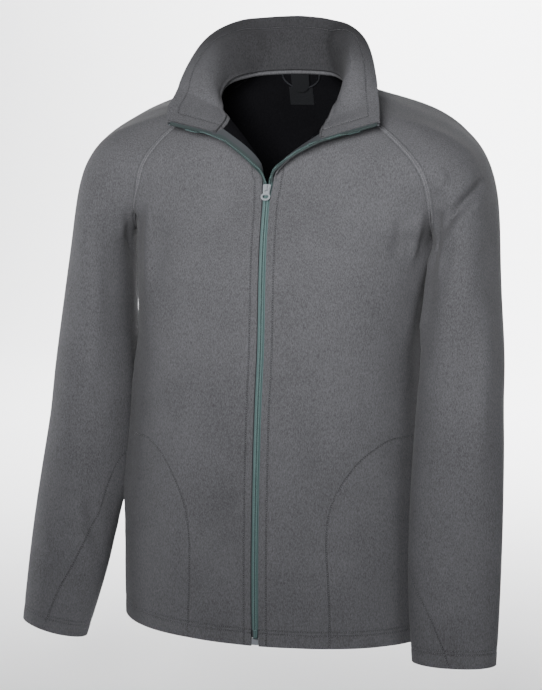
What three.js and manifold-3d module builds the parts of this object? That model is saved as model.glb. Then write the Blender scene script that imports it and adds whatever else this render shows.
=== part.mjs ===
// Fleece jacket with a full-length zip, raglan sleeves and a stand-up collar, in millimetres.
// It keeps the hollow form of a worn garment, with the zip closed up to the chest.
// +X is the wearer's left, the front faces -Y, +Z is up, and the origin is the base of the neck.
import * as THREE from "three";
import Module from "manifold-3d";
import { mergeVertices } from "three/addons/utils/BufferGeometryUtils.js";

const wasm = await Module();
wasm.setup();
const { CrossSection, Manifold } = wasm;

// Cloth sizes
const fleeceWall = 2.2;
const pocketWall = 1.4;
const tapeWall = 1.0;
const seamGap = 0.3;
const layerGap = 0.35;
const facingGap = 0.6;
const tapeGapAtTurn = 1.6;
const hemDepth = 20;
const turnUpStep = 2;
const collarDepth = 78;
const frontShare = 0.42;
const collarRows = [0.05, 0.22, 0.42, 0.61, 0.8, 1];

// Zip sizes
const fabricGapAtZip = 10;
const coilReach = fabricGapAtZip / 2 - 0.2;
const coilWidth = 2.5;
const coilRise = 1.6;
const tapeUnderFabric = 10;
const foldedEdgeWidth = 10;
const tapeStartAtCollar = 0.5;
const tapeTopShare = 0.7;

// Pocket bag sizes
const pocketUnder = fleeceWall + 0.8;
const pocketSideInset = 7;
const pocketSteps = 6;
const pocketRows = [2.15, 3, 4, 5, 6, 7, 7.5, 8, 8.4, 8.75];

// Slider sizes: along the zip (top and foot above its middle) and out from the cloth's outer face
const slider = { top: 7.5, foot: -7.5, topHalf: 5.5, footHalf: 4.2, corner: 1.8, tilt: 22, shiftX: 0.4 };
const frontPlate = { low: 0.5, high: 1.6 };
const rearPlate = { low: -6.8, high: -5.7, inset: 0.5 };
const plateBite = 0.3;
const wedge = { from: 3.6, to: 6.6, half: 0.8, shiftX: 0.3 };
const crown = { from: -1.9, to: 5.7, half: 1.1, high: 5.2, holeFrom: 0.5, holeTo: 3.5, holeHigh: 4.1 };

// Pull tab sizes, measured down from its hinge line
const hinge = { up: 2, out: 2.85 };
const tab = { thick: 1.2, barUp: 0.9, neckHalf: 4, neckFoot: 9, slotHalf: 1.7, slotFrom: 0.9, slotTo: 5 };
const ring = { middle: 11.85, half: 6.3, high: 5.25, holeHalf: 4.1, holeHigh: 2.65 };

// Bottom box and top stops of the zip
const box = { half: 4.7, low: -725.5, high: -717.6, out: -0.6, into: -5.9 };
const stop = { long: 2.8, wide: 3.2, high: 2.6, gap: 0.4 };

// Label, hanger loop and size tab, measured in from the outer face of the back
const label = { fromX: -14, toX: 19, top: -3, foot: -28, depth: 2.5, thick: 0.6, steps: 5 };
const loopCord = {
  middleX: 5.3,
  half: 25.9,
  top: 13,
  drop: 18,
  radius: 1.1,
  depth: 4.6,
  sides: 6,
  steps: 16,
};
const sizeTab = { middleX: 4, half: 12.5, top: 15, foot: -11, depth: 6.1, thick: 0.6, steps: 4 };

// Heights
const hemZ = -727;
const underarmZ = -196;
const sliderZ = -131;
const openingZ = -124;
const sideY = -12;

// How finely the cloth is divided
const stripSteps = 3;
const frontSteps = 9;
const backSteps = 20;
const lowerRows = 14;
const zipRowsAboveUnderarm = 4;
const openRows = 7;
const neckSteps = 4;
const capSteps = 6;
const armSteps = 11;

// Torso sections from hem to underarm: half widths on each side, front and back depth, zip line
const torsoTable = [
  { z: -730, left: 220, right: 226, front: -150, back: 112, zip: -2 },
  { z: -629, left: 212, right: 225, front: -151, back: 114, zip: -2 },
  { z: -542, left: 203, right: 219, front: -151, back: 117, zip: -1 },
  { z: -457, left: 195, right: 209, front: -151, back: 119, zip: 1 },
  { z: -388, left: 190, right: 204, front: -149, back: 121, zip: 3 },
  { z: -338, left: 189, right: 200, front: -147, back: 123, zip: 5 },
  { z: -272, left: 194, right: 202, front: -142, back: 126, zip: 5 },
  { z: -220, left: 200, right: 203, front: -131, back: 129, zip: 3 },
  { z: -190, left: 203, right: 206, front: -121, back: 130, zip: 2 },
  { z: -131, left: 205, right: 208, front: -97, back: 122, zip: 0 },
];

// Front raglan seam from underarm to neck: place, then turn and lean of the cloth's face
const frontRaglanTable = [
  { left: 202.5, right: 205.5, y: -12, z: -196, turn: 88, lean: 0 },
  { left: 207, right: 197, y: -46, z: -177, turn: 50, lean: -8 },
  { left: 208, right: 190, y: -64, z: -156, turn: 26, lean: -6 },
  { left: 208, right: 185, y: -73, z: -135, turn: 18, lean: 0 },
  { left: 203, right: 180, y: -79, z: -113, turn: 19, lean: 12 },
  { left: 190, right: 170, y: -80, z: -91, turn: 22, lean: 26 },
  { left: 169, right: 155, y: -72, z: -71, turn: 23, lean: 38 },
  { left: 144, right: 135, y: -60, z: -51, turn: 22, lean: 46 },
  { left: 114, right: 110, y: -47, z: -34, turn: 20, lean: 50 },
  { left: 85, right: 83, y: -36, z: -20, turn: 20, lean: 52 },
];

// Back raglan seam from underarm to neck, alike on both sides
const backRaglanTable = [
  { x: 204, y: -12, z: -196, turn: 88, lean: 0 },
  { x: 207, y: 24, z: -178, turn: 60, lean: -5 },
  { x: 204, y: 52, z: -154, turn: 36, lean: -2 },
  { x: 194, y: 74, z: -124, turn: 26, lean: 8 },
  { x: 178, y: 85, z: -94, turn: 22, lean: 22 },
  { x: 156, y: 85, z: -64, turn: 20, lean: 36 },
  { x: 127, y: 77, z: -36, turn: 18, lean: 46 },
  { x: 95, y: 63, z: -9, turn: 17, lean: 52 },
  { x: 63, y: 46, z: 11, turn: 20, lean: 55 },
];

// Middle of the back from underarm to neck
const backMiddleTable = [
  { y: 130, z: -196 },
  { y: 126, z: -155 },
  { y: 117, z: -112 },
  { y: 104, z: -70 },
  { y: 88, z: -32 },
  { y: 67, z: 15 },
];

// Edge of the open neck from slider to neck seam, and the roll beside it, on each side
const openEdgeTables = {
  left: [
    { x: 8.5, y: -94.2, z: -124 },
    { x: 10.5, y: -94.5, z: -113 },
    { x: 19, y: -99.5, z: -102 },
    { x: 43, y: -102, z: -83 },
    { x: 70, y: -103, z: -67 },
  ],
  right: [
    { x: -7, y: -94.2, z: -124 },
    { x: -8, y: -93.8, z: -113 },
    { x: -14, y: -99.5, z: -102 },
    { x: -35, y: -102, z: -81 },
    { x: -62, y: -103, z: -61 },
  ],
};
const rollTables = {
  left: [
    { x: 12.5, y: -94.2, z: -124 },
    { x: 15, y: -90, z: -112 },
    { x: 19, y: -88.5, z: -100 },
    { x: 44, y: -86, z: -77 },
    { x: 70, y: -76, z: -50 },
  ],
  right: [
    { x: -11, y: -94.2, z: -124 },
    { x: -12, y: -90.2, z: -112 },
    { x: -10, y: -88, z: -99 },
    { x: -30, y: -86.5, z: -70 },
    { x: -55, y: -76, z: -43 },
  ],
};

// Neck seam from the roll to the front raglan seam, and round the side of the neck to the back
const neckFrontTables = {
  left: [{ x: 70, y: -76, z: -50 }, { x: 77, y: -55, z: -34 }, { x: 85, y: -36, z: -20 }],
  right: [{ x: -55, y: -76, z: -43 }, { x: -72, y: -55, z: -31 }, { x: -83, y: -36, z: -20 }],
};
const neckSideTable = [
  { x: 85, y: -36, z: -20 },
  { x: 85, y: -11, z: -5 },
  { x: 80, y: 14, z: 5 },
  { x: 63, y: 46, z: 11 },
];

// Top edge of the collar from the zip to the middle of the back, on each side
const collarTopTables = {
  left: [
    { x: 146, y: -84, z: -44 },
    { x: 141, y: -62, z: -25 },
    { x: 133, y: -40, z: -4 },
    { x: 124, y: -18, z: 13 },
    { x: 112, y: 12, z: 38 },
    { x: 94, y: 42, z: 64 },
    { x: 70, y: 62, z: 78 },
    { x: 39, y: 77, z: 88 },
    { x: 0, y: 82, z: 92 },
  ],
  right: [
    { x: -135, y: -86, z: -46 },
    { x: -141, y: -72, z: -31 },
    { x: -137, y: -57, z: -17 },
    { x: -134, y: -36, z: 2 },
    { x: -128, y: -10, z: 28 },
    { x: -119, y: 18, z: 54 },
    { x: -104, y: 42, z: 72 },
    { x: -78, y: 62, z: 84 },
    { x: -44, y: 76, z: 90 },
    { x: 0, y: 82, z: 92 },
  ],
};

// Sleeve sections from upper arm to cuff: middle of the arm and half sizes of the tube
const sleeveTables = {
  left: [
    { x: 250, y: -10, z: -215, across: 41, along: 80 },
    { x: 250, y: -30, z: -277, across: 47, along: 76 },
    { x: 252, y: -50, z: -342, across: 54, along: 66 },
    { x: 252, y: -63, z: -400, across: 57, along: 60 },
    { x: 252, y: -77, z: -457, across: 59, along: 55 },
    { x: 252, y: -90, z: -534, across: 61, along: 47 },
    { x: 253, y: -100, z: -612, across: 61, along: 41 },
    { x: 254, y: -104, z: -680, across: 59, along: 37 },
    { x: 255.5, y: -108, z: -740, across: 55.5, along: 34 },
  ],
  right: [
    { x: -254, y: -6, z: -215, across: 42, along: 80 },
    { x: -257, y: -14, z: -280, across: 47, along: 76 },
    { x: -260.5, y: -22, z: -345, across: 52, along: 70 },
    { x: -264.5, y: -28, z: -400, across: 55.5, along: 64 },
    { x: -270.5, y: -34, z: -460, across: 57, along: 57 },
    { x: -281.5, y: -40, z: -536, across: 59, along: 49 },
    { x: -293.5, y: -44, z: -615, across: 60, along: 42 },
    { x: -306, y: -47, z: -680, across: 57, along: 37 },
    { x: -323, y: -50, z: -757, across: 49, along: 33 },
  ],
};

// Curved seam of each pocket bag, from the side seam down to the hem
const pocketTable = [
  { z: -456, x: 196 },
  { z: -459, x: 170 },
  { z: -474, x: 143 },
  { z: -497, x: 120 },
  { z: -528, x: 101 },
  { z: -560, x: 93 },
  { z: -600, x: 92 },
  { z: -660, x: 96 },
  { z: -727, x: 98 },
];

// Largest folds: a soft ridge (height above 0) or trough along a line, with its half width
const foldTable = [
  { from: [268, -78, -140], to: [232, -84, -186], width: 15, height: -6 },
  { from: [280, -50, -205], to: [216, -70, -262], width: 15, height: -5 },
  { from: [-268, -72, -140], to: [-232, -78, -190], width: 15, height: -5 },
  { from: [-285, -60, -215], to: [-232, -74, -265], width: 14, height: -4 },
  { from: [266, 70, -150], to: [232, 74, -200], width: 14, height: -5 },
  { from: [-266, 70, -150], to: [-232, 74, -200], width: 14, height: -5 },
  { from: [186, -84, -235], to: [176, -92, -330], width: 16, height: 4 },
  { from: [-178, -84, -215], to: [-170, -92, -320], width: 16, height: 4 },
  { from: [22, -150, -400], to: [80, -146, -560], width: 18, height: 3 },
  { from: [-36, -150, -500], to: [-96, -140, -600], width: 15, height: -3 },
  { from: [-20, 128, -300], to: [-120, 100, -420], width: 22, height: -4 },
  { from: [60, 126, -380], to: [150, 84, -470], width: 22, height: -4 },
  { from: [300, -60, -400], to: [212, -110, -450], width: 14, height: -4 },
  { from: [-316, -50, -430], to: [-240, -70, -480], width: 14, height: -4 },
];

const fleeceColour = 0x6b6c70;
const pocketColour = 0x5f6064;
const zipColour = 0x6f8482;
const metalColour = 0xc8ccd2;
const labelColour = 0x303134;
const cordColour = 0x55565a;

const outwardX = new THREE.Vector3(1, 0, 0);

function place(row) {
  return new THREE.Vector3(row.x, row.y, row.z);
}

function blend(low, high, value) {
  return THREE.MathUtils.smoothstep(value, low, high);
}

// Value of one column of a table at a height, as a smooth curve through its rows
function columnAt(table, column, z) {
  const rows = table[0].z < table[table.length - 1].z ? table : [...table].reverse();
  const last = rows.length - 1;
  let k = 0;
  while (k < last - 1 && z > rows[k + 1].z) k += 1;
  const slope = (i) => {
    const a = rows[Math.max(i - 1, 0)];
    const b = rows[Math.min(i + 1, last)];
    return (b[column] - a[column]) / (b.z - a.z);
  };
  const span = rows[k + 1].z - rows[k].z;
  const u = THREE.MathUtils.clamp((z - rows[k].z) / span, 0, 1);
  const rise = u * u * (3 - 2 * u);
  return (
    rows[k][column] * (1 - rise) +
    rows[k + 1][column] * rise +
    slope(k) * span * u * (1 - u) ** 2 -
    slope(k + 1) * span * u * u * (1 - u)
  );
}

// Point on the curve that leaves one point with one tangent and arrives at another
function arc(from, leave, to, arrive, u) {
  const rise = u * u * (3 - 2 * u);
  return new THREE.Vector3()
    .addScaledVector(from, 1 - rise)
    .addScaledVector(to, rise)
    .addScaledVector(leave, u * (1 - u) ** 2)
    .addScaledVector(arrive, -u * u * (1 - u));
}

function arcLine(from, leave, to, arrive, samples = 40) {
  const line = [];
  for (let i = 0; i <= samples; i += 1) line.push(arc(from, leave, to, arrive, i / samples));
  return line;
}

function smoothLine(points, samples = 60) {
  return new THREE.CatmullRomCurve3(points, false, "centripetal").getPoints(samples);
}

function lengthOf(line) {
  let length = 0;
  for (let i = 1; i < line.length; i += 1) length += line[i].distanceTo(line[i - 1]);
  return length;
}

// Point at a distance along a line of points
function along(line, distance) {
  let left = Math.max(distance, 0);
  for (let i = 1; i < line.length; i += 1) {
    const step = line[i].distanceTo(line[i - 1]);
    if (left <= step || i === line.length - 1) {
      return line[i - 1].clone().lerp(line[i], Math.min(left / step, 1));
    }
    left -= step;
  }
  return line[0].clone();
}

function evenly(line, steps) {
  const length = lengthOf(line);
  return Array.from({ length: steps + 1 }, (_, i) => along(line, (length * i) / steps));
}

// Direction in which the cloth faces, from its turn away from straight ahead and its lean upwards
function faceDirection(side, ahead, turn, lean) {
  const t = THREE.MathUtils.degToRad(turn);
  const l = THREE.MathUtils.degToRad(lean);
  return new THREE.Vector3(side * Math.sin(t) * Math.cos(l), ahead * Math.cos(t) * Math.cos(l), Math.sin(l));
}

function intoPlane(direction, normal) {
  return direction.clone().addScaledVector(normal, -direction.dot(normal)).normalize();
}

// Outer points of all the cloth, shared along the seams, so that neighbouring pieces agree
const clothPoints = [];

function keep(point) {
  clothPoints.push(point);
  return clothPoints.length - 1;
}

const lowerHeights = [hemZ, hemZ + hemDepth, hemZ + hemDepth + turnUpStep];
for (let i = 1; i <= lowerRows; i += 1) {
  const start = hemZ + hemDepth + turnUpStep;
  lowerHeights.push(start + ((underarmZ - start) * i) / lowerRows);
}
const upperRows = zipRowsAboveUnderarm + openRows;

// Seam points of both raglan seams from underarm to neck, with the way the cloth faces there
function raglanSeam(table, side, ahead, columns) {
  const line = smoothLine(table.map((row) => new THREE.Vector3(side * row[columns], row.y, row.z)), 90);
  const points = evenly(line, upperRows);
  return points.map((point, i) => {
    const before = points[Math.max(i - 1, 0)];
    const after = points[Math.min(i + 1, upperRows)];
    const turn = columnAt(table, "turn", point.z);
    const face = faceDirection(side, ahead, turn, columnAt(table, "lean", point.z));
    const run = after.clone().sub(before).normalize();
    return { point, run, turn, face: intoPlane(face, run), id: i === 0 ? null : keep(point) };
  });
}

// One row of a front: first the folded edge strip from zip to roll, then the panel to its far seam
function frontRow(strip, panel, farId) {
  const ids = evenly(strip, stripSteps).map(keep);
  const rest = evenly(panel, frontSteps).slice(1, -1).map(keep);
  return [...ids, ...rest, farId];
}

function splitRow(line, width) {
  const length = lengthOf(line);
  const strip = evenly([along(line, 0), along(line, width / 2), along(line, width)], 8);
  const panel = [];
  for (let i = 0; i <= 40; i += 1) panel.push(along(line, width + ((length - width) * i) / 40));
  return { strip, panel };
}

const sectionFullness = 1.74;
const rowFullness = 1.16;

function torsoSection(side, z, ahead) {
  const half = columnAt(torsoTable, side > 0 ? "left" : "right", z);
  const middleX = ahead < 0 ? columnAt(torsoTable, "zip", z) + (side * fabricGapAtZip) / 2 : 0;
  const depth = columnAt(torsoTable, ahead < 0 ? "front" : "back", z);
  const start = new THREE.Vector3(middleX, depth, z);
  const end = new THREE.Vector3(side * half, sideY, z);
  const leave = new THREE.Vector3(side * Math.abs(end.x - start.x) * sectionFullness, 0, 0);
  const arrive = new THREE.Vector3(0, (sideY - depth) * sectionFullness, 0);
  return arcLine(start, leave, end, arrive);
}

const sideSeamIds = {};
const frontRaglan = {};
const backRaglan = {};

function frontGrid(name, side) {
  const rows = [];
  sideSeamIds[name] = [];
  for (const z of lowerHeights) {
    const { strip, panel } = splitRow(torsoSection(side, z, -1), foldedEdgeWidth);
    const sideId = keep(panel[panel.length - 1].clone());
    sideSeamIds[name].push(sideId);
    rows.push(frontRow(strip, panel, sideId));
  }
  const seam = raglanSeam(frontRaglanTable, side, -1, name);
  seam[0].id = sideSeamIds[name][lowerHeights.length - 1];
  frontRaglan[name] = seam;

  // Rows between the underarm and the opening, the last one at the top of the slider
  for (let i = 1; i <= zipRowsAboveUnderarm; i += 1) {
    const share = i / zipRowsAboveUnderarm;
    const z = THREE.MathUtils.lerp(underarmZ, openingZ, share);
    const edgeX = columnAt(torsoTable, "zip", z) + (side * fabricGapAtZip) / 2;
    const closed = new THREE.Vector3(edgeX, columnAt(torsoTable, "front", z), z);
    const edge = share < 1 ? closed : place(openEdgeTables[name][0]);
    const line = rowToSeam(edge, seam[i], side, seamWay(seam[i], side, -1), i / upperRows);
    const width = THREE.MathUtils.lerp(foldedEdgeWidth, 4, share);
    const { strip, panel } = splitRow(line, width);
    rows.push(frontRow(strip, panel, seam[i].id));
  }

  // Rows beside the open neck, folded outwards over the roll
  const edges = evenly(smoothLine(openEdgeTables[name].map(place)), openRows);
  const rolls = evenly(smoothLine(rollTables[name].map(place)), openRows);
  const neck = smoothLine(neckFrontTables[name].map(place));
  for (let i = 1; i <= openRows; i += 1) {
    const at = seam[zipRowsAboveUnderarm + i];
    const { strip, panel } = openRow(edges[i], rolls[i], at, side, i / openRows);
    const last = i === openRows;
    rows.push(frontRow(strip, last ? neck : panel, at.id));
  }
  return rows;
}

// Row from the middle of a panel to its raglan seam, as full as the sections below it at first
function rowToSeam(from, at, side, arriveWay, share) {
  const reach = from.distanceTo(at.point) * rowFullness;
  const likeSection = 1 - blend(0, 0.45, share);
  const outward = THREE.MathUtils.lerp(reach, Math.abs(at.point.x - from.x) * sectionFullness, likeSection);
  const round = THREE.MathUtils.lerp(reach, Math.abs(at.point.y - from.y) * sectionFullness, likeSection);
  const leave = new THREE.Vector3(side * outward, 0, 0);
  return arcLine(from, leave, at.point, arriveWay.clone().multiplyScalar(round));
}

// Way in which a row runs into its seam, from the turn of the cloth there
function seamWay(at, side, ahead) {
  const turn = THREE.MathUtils.degToRad(at.turn);
  return intoPlane(new THREE.Vector3(side * Math.cos(turn), -ahead * Math.sin(turn), 0), at.face);
}

function openRow(edge, roll, at, side, share) {
  const folded = blend(0, 0.3, share);
  const width = edge.distanceTo(roll);
  const reach = roll.distanceTo(at.point) * 1.12;
  const flat = new THREE.Vector3(side, 0, 0);
  const back = new THREE.Vector3(side * 0.3, 0.8, 0.35).normalize();
  const leave = flat.clone().multiplyScalar(reach * (1 - folded)).addScaledVector(back, 24 * folded);
  const arrive = seamWay(at, side, -1);
  const neckWay = new THREE.Vector3(side * 0.3, 0.75, 0.55).normalize();
  arrive.lerp(neckWay, blend(0.35, 1, share)).normalize();
  const panel = arcLine(roll, leave, at.point, arrive.multiplyScalar(reach));
  const across = roll.clone().sub(edge);
  const turning = flat.clone().lerp(back, folded).multiplyScalar(width);
  const strip = arcLine(edge, across, roll, turning);
  return { strip, panel };
}

const grids = {};
grids.front_left = frontGrid("left", 1);
grids.front_right = frontGrid("right", -1);

// Back from the wearer's right side seam to the left one, up to the back neck
function backGrid() {
  const rows = [];
  const half = backSteps / 2;
  lowerHeights.forEach((z, i) => {
    const right = evenly(torsoSection(-1, z, 1), half).reverse().slice(1);
    const left = evenly(torsoSection(1, z, 1), half).slice(1, -1);
    rows.push([sideSeamIds.right[i], ...right.map(keep), ...left.map(keep), sideSeamIds.left[i]]);
  });
  const table = backRaglanTable.map((row) => ({ ...row, left: row.x, right: row.x }));
  backRaglan.left = raglanSeam(table, 1, 1, "left");
  backRaglan.right = raglanSeam(table, -1, 1, "right");
  const middlePoints = backMiddleTable.map((row) => new THREE.Vector3(0, row.y, row.z));
  const middle = evenly(smoothLine(middlePoints), upperRows);
  for (let i = 1; i <= upperRows; i += 1) {
    const halves = [-1, 1].map((side) => {
      const at = backRaglan[side > 0 ? "left" : "right"][i];
      const atNeck = new THREE.Vector3(side * 0.5, -0.85, -0.12).normalize();
      const arrive = seamWay(at, side, 1).lerp(atNeck, blend(0.75, 1, i / upperRows)).normalize();
      return evenly(rowToSeam(middle[i], at, side, arrive, i / upperRows), half);
    });
    const right = halves[0].reverse().slice(1);
    const left = halves[1].slice(1, -1);
    rows.push([backRaglan.right[i].id, ...right.map(keep), ...left.map(keep), backRaglan.left[i].id]);
  }
  backRaglan.left[0].id = sideSeamIds.left[lowerHeights.length - 1];
  backRaglan.right[0].id = sideSeamIds.right[lowerHeights.length - 1];
  return rows;
}

grids.back = backGrid();

const neckSideIds = {};

// Loop of points where the sleeve starts: up the front raglan seam, over the neck, down the back
function armholeLoop(name, side) {
  const neckLine = neckSideTable.map((row) => new THREE.Vector3(side * row.x, row.y, row.z));
  neckLine[0].copy(frontRaglan[name][upperRows].point);
  const neck = evenly(smoothLine(neckLine), neckSteps).slice(1, -1);
  const topFace = new THREE.Vector3(side * 0.35, 0, 0.94).normalize();
  const neckRows = neck.map((point) => ({ point, face: topFace, id: keep(point) }));
  neckSideIds[name] = neckRows.map((row) => row.id);
  const front = frontRaglan[name].map((row, i) => {
    const up = i / upperRows;
    return { ...row, up, round: up * frontShare };
  });
  const back = backRaglan[name].map((row, i) => {
    const up = i / upperRows;
    return { ...row, up, round: 1 - up * frontShare };
  });
  const over = neckRows.map((row, i) => ({ ...row, up: 1, round: 0.42 + (0.16 * (i + 1)) / neckSteps }));
  return [...front, ...over, ...back.reverse().slice(0, -1)];
}

function sleeveRing(name, side, z, round) {
  const table = sleeveTables[name];
  const centre = new THREE.Vector3(columnAt(table, "x", z), columnAt(table, "y", z), z);
  const step = 12;
  const low = Math.max(z - step, table[table.length - 1].z);
  const high = Math.min(z + step, table[0].z);
  const axis = new THREE.Vector3(
    columnAt(table, "x", low) - columnAt(table, "x", high),
    columnAt(table, "y", low) - columnAt(table, "y", high),
    low - high,
  ).normalize();
  const across = intoPlane(outwardX, axis);
  const forward = new THREE.Vector3().crossVectors(across, axis).normalize();
  if (forward.y > 0) forward.negate();
  const angle = round * 2 * Math.PI;
  const point = centre
    .clone()
    .addScaledVector(across, -side * Math.cos(angle) * columnAt(table, "across", z))
    .addScaledVector(forward, Math.sin(angle) * columnAt(table, "along", z));
  return { point, axis };
}

function sleeveGrid(name, side) {
  const loop = armholeLoop(name, side);
  const table = sleeveTables[name];
  const topZ = table[0].z;
  const cuffZ = table[table.length - 1].z;
  const heights = [];
  const turnUpTop = cuffZ + hemDepth + turnUpStep;
  for (let i = 0; i <= armSteps; i += 1) heights.push(THREE.MathUtils.lerp(topZ, turnUpTop, i / armSteps));
  heights.push(cuffZ + hemDepth, cuffZ);
  const rows = [loop.map((row) => row.id)];
  const starts = loop.map((row) => {
    const { point, axis } = sleeveRing(name, side, topZ, row.round);
    const chord = row.point.distanceTo(point);
    const upper = blend(0.05, 0.75, row.up);
    const shoulderWay = new THREE.Vector3(side * 0.94, 0, -0.33);
    const downWay = new THREE.Vector3(side * 0.75, row.round < 0.5 ? -0.3 : 0.3, -1);
    const guess = downWay.normalize().lerp(shoulderWay, upper).normalize();
    const inPlane = intoPlane(guess, row.face);
    const leave = guess.lerp(inPlane, blend(0.1, 0.3, row.up)).normalize();
    leave.multiplyScalar(chord * THREE.MathUtils.lerp(0.9, 1.6, upper));
    const arrive = axis.clone().multiplyScalar(chord * THREE.MathUtils.lerp(0.9, 1.85, upper));
    return { from: row.point, leave, to: point, arrive };
  });
  for (let i = 1; i < capSteps; i += 1) {
    rows.push(starts.map((s) => keep(arc(s.from, s.leave, s.to, s.arrive, i / capSteps))));
  }
  for (const z of heights) rows.push(loop.map((row) => keep(sleeveRing(name, side, z, row.round).point)));
  return rows.map((row) => [...row, row[0]]);
}

grids.sleeve_left = sleeveGrid("left", 1);
grids.sleeve_right = sleeveGrid("right", -1);

// Neck seam all round, from the wearer's right zip edge over the back to the left one
function neckSeamIds() {
  const right = grids.front_right[grids.front_right.length - 1];
  const left = grids.front_left[grids.front_left.length - 1];
  const back = grids.back[grids.back.length - 1];
  return [
    ...right,
    ...neckSideIds.right,
    ...back,
    ...[...neckSideIds.left].reverse(),
    ...[...left].reverse(),
  ];
}

// Collar rows from the neck seam to the top edge, each line as long as the collar is deep
function collarGrid() {
  const seamIds = neckSeamIds();
  const seam = seamIds.map((id) => clothPoints[id]);
  const topRight = smoothLine(collarTopTables.right.map(place), 80);
  const topLeft = smoothLine(collarTopTables.left.map(place), 80);
  const top = [...topRight, ...topLeft.reverse().slice(1)];
  const seamLength = lengthOf(seam);
  const topLength = lengthOf(top);
  const rows = collarRows.map(() => []);
  let run = 0;
  seam.forEach((point, i) => {
    if (i > 0) run += point.distanceTo(seam[i - 1]);
    const share = run / seamLength;
    const topPoint = along(top, share * topLength);
    const away = topPoint.clone().sub(point).setZ(0).normalize();
    const fromFront = Math.min(share, 1 - share);
    const upright = blend(0.06, 0.2, fromFront);
    const straight = topPoint.clone().sub(point).normalize();
    const up = new THREE.Vector3(0, 0, 1).addScaledVector(away, 0.1).normalize();
    const leaveWay = straight.clone().lerp(up, upright).normalize();
    const rolledOver = blend(0.06, 0.16, fromFront) * (1 - blend(0.3, 0.44, fromFront));
    const outAndDown = away.clone().addScaledVector(new THREE.Vector3(0, 0, -1), 0.55).normalize();
    const arriveWay = straight.clone().lerp(outAndDown, rolledOver * 0.9).normalize();
    const reach = reachForLength(point, leaveWay, topPoint, arriveWay, collarDepth);
    const leave = leaveWay.clone().multiplyScalar(reach);
    const line = arcLine(point, leave, topPoint, arriveWay.clone().multiplyScalar(reach));
    const length = lengthOf(line);
    collarRows.forEach((u, k) => rows[k].push(keep(along(line, length * u))));
  });
  return [seamIds, ...rows];
}

// Tangent length that gives a curve between two points the wanted length
function reachForLength(from, leaveWay, to, arriveWay, wanted) {
  let low = 20;
  let high = 320;
  for (let i = 0; i < 24; i += 1) {
    const reach = (low + high) / 2;
    const leave = leaveWay.clone().multiplyScalar(reach);
    const line = arcLine(from, leave, to, arriveWay.clone().multiplyScalar(reach), 16);
    if (lengthOf(line) > wanted) high = reach;
    else low = reach;
  }
  return (low + high) / 2;
}

grids.collar_outer = collarGrid();

// Faces of a grid of points, as quads split into triangles; the sign says which way round they go
function gridFaces(grid, turned) {
  const faces = [];
  for (let i = 0; i + 1 < grid.length; i += 1) {
    for (let j = 0; j + 1 < grid[i].length; j += 1) {
      const [a, b, c, d] = [grid[i][j], grid[i][j + 1], grid[i + 1][j + 1], grid[i + 1][j]];
      if (turned) faces.push([a, c, b], [a, d, c]);
      else faces.push([a, b, c], [a, c, d]);
    }
  }
  return faces;
}

const turnedGrids = {
  front_left: false,
  front_right: true,
  back: true,
  sleeve_left: true,
  sleeve_right: false,
  collar_outer: true,
};

const underarmIds = [frontRaglan.left[0].id, frontRaglan.right[0].id];

// Direction in which the cloth faces at each shared point, halfway between the pieces at a seam
function clothFaces() {
  const normals = clothPoints.map(() => new THREE.Vector3());
  for (const [name, grid] of Object.entries(grids)) {
    const own = new Map();
    for (const [a, b, c] of gridFaces(grid, turnedGrids[name])) {
      const ab = clothPoints[b].clone().sub(clothPoints[a]);
      const ac = clothPoints[c].clone().sub(clothPoints[a]);
      const normal = ab.cross(ac);
      for (const id of [a, b, c]) own.set(id, (own.get(id) ?? new THREE.Vector3()).add(normal));
    }
    // Front and back meet the sleeve as one sheet at the underarm, so the sleeve counts twice there
    own.forEach((normal, id) => {
      const weight = name.startsWith("sleeve") && underarmIds.includes(id) ? 2 : 1;
      normals[id].addScaledVector(normal.normalize(), weight);
    });
  }
  return normals.map((normal) => normal.normalize());
}

function distanceToFold(point, fold) {
  const from = new THREE.Vector3(...fold.from);
  const line = new THREE.Line3(from, new THREE.Vector3(...fold.to));
  const near = line.closestPointToPoint(point, true, new THREE.Vector3());
  return near.distanceTo(point);
}

function addFolds() {
  const normals = clothFaces();
  clothPoints.forEach((point, id) => {
    for (const fold of foldTable) {
      const distance = distanceToFold(point, fold);
      const height = fold.height * Math.exp(-((distance / fold.width) ** 2));
      if (Math.abs(height) > 0.05) point.addScaledVector(normals[id], height);
    }
  });
}

addFolds();
const clothNormals = clothFaces();

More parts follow.
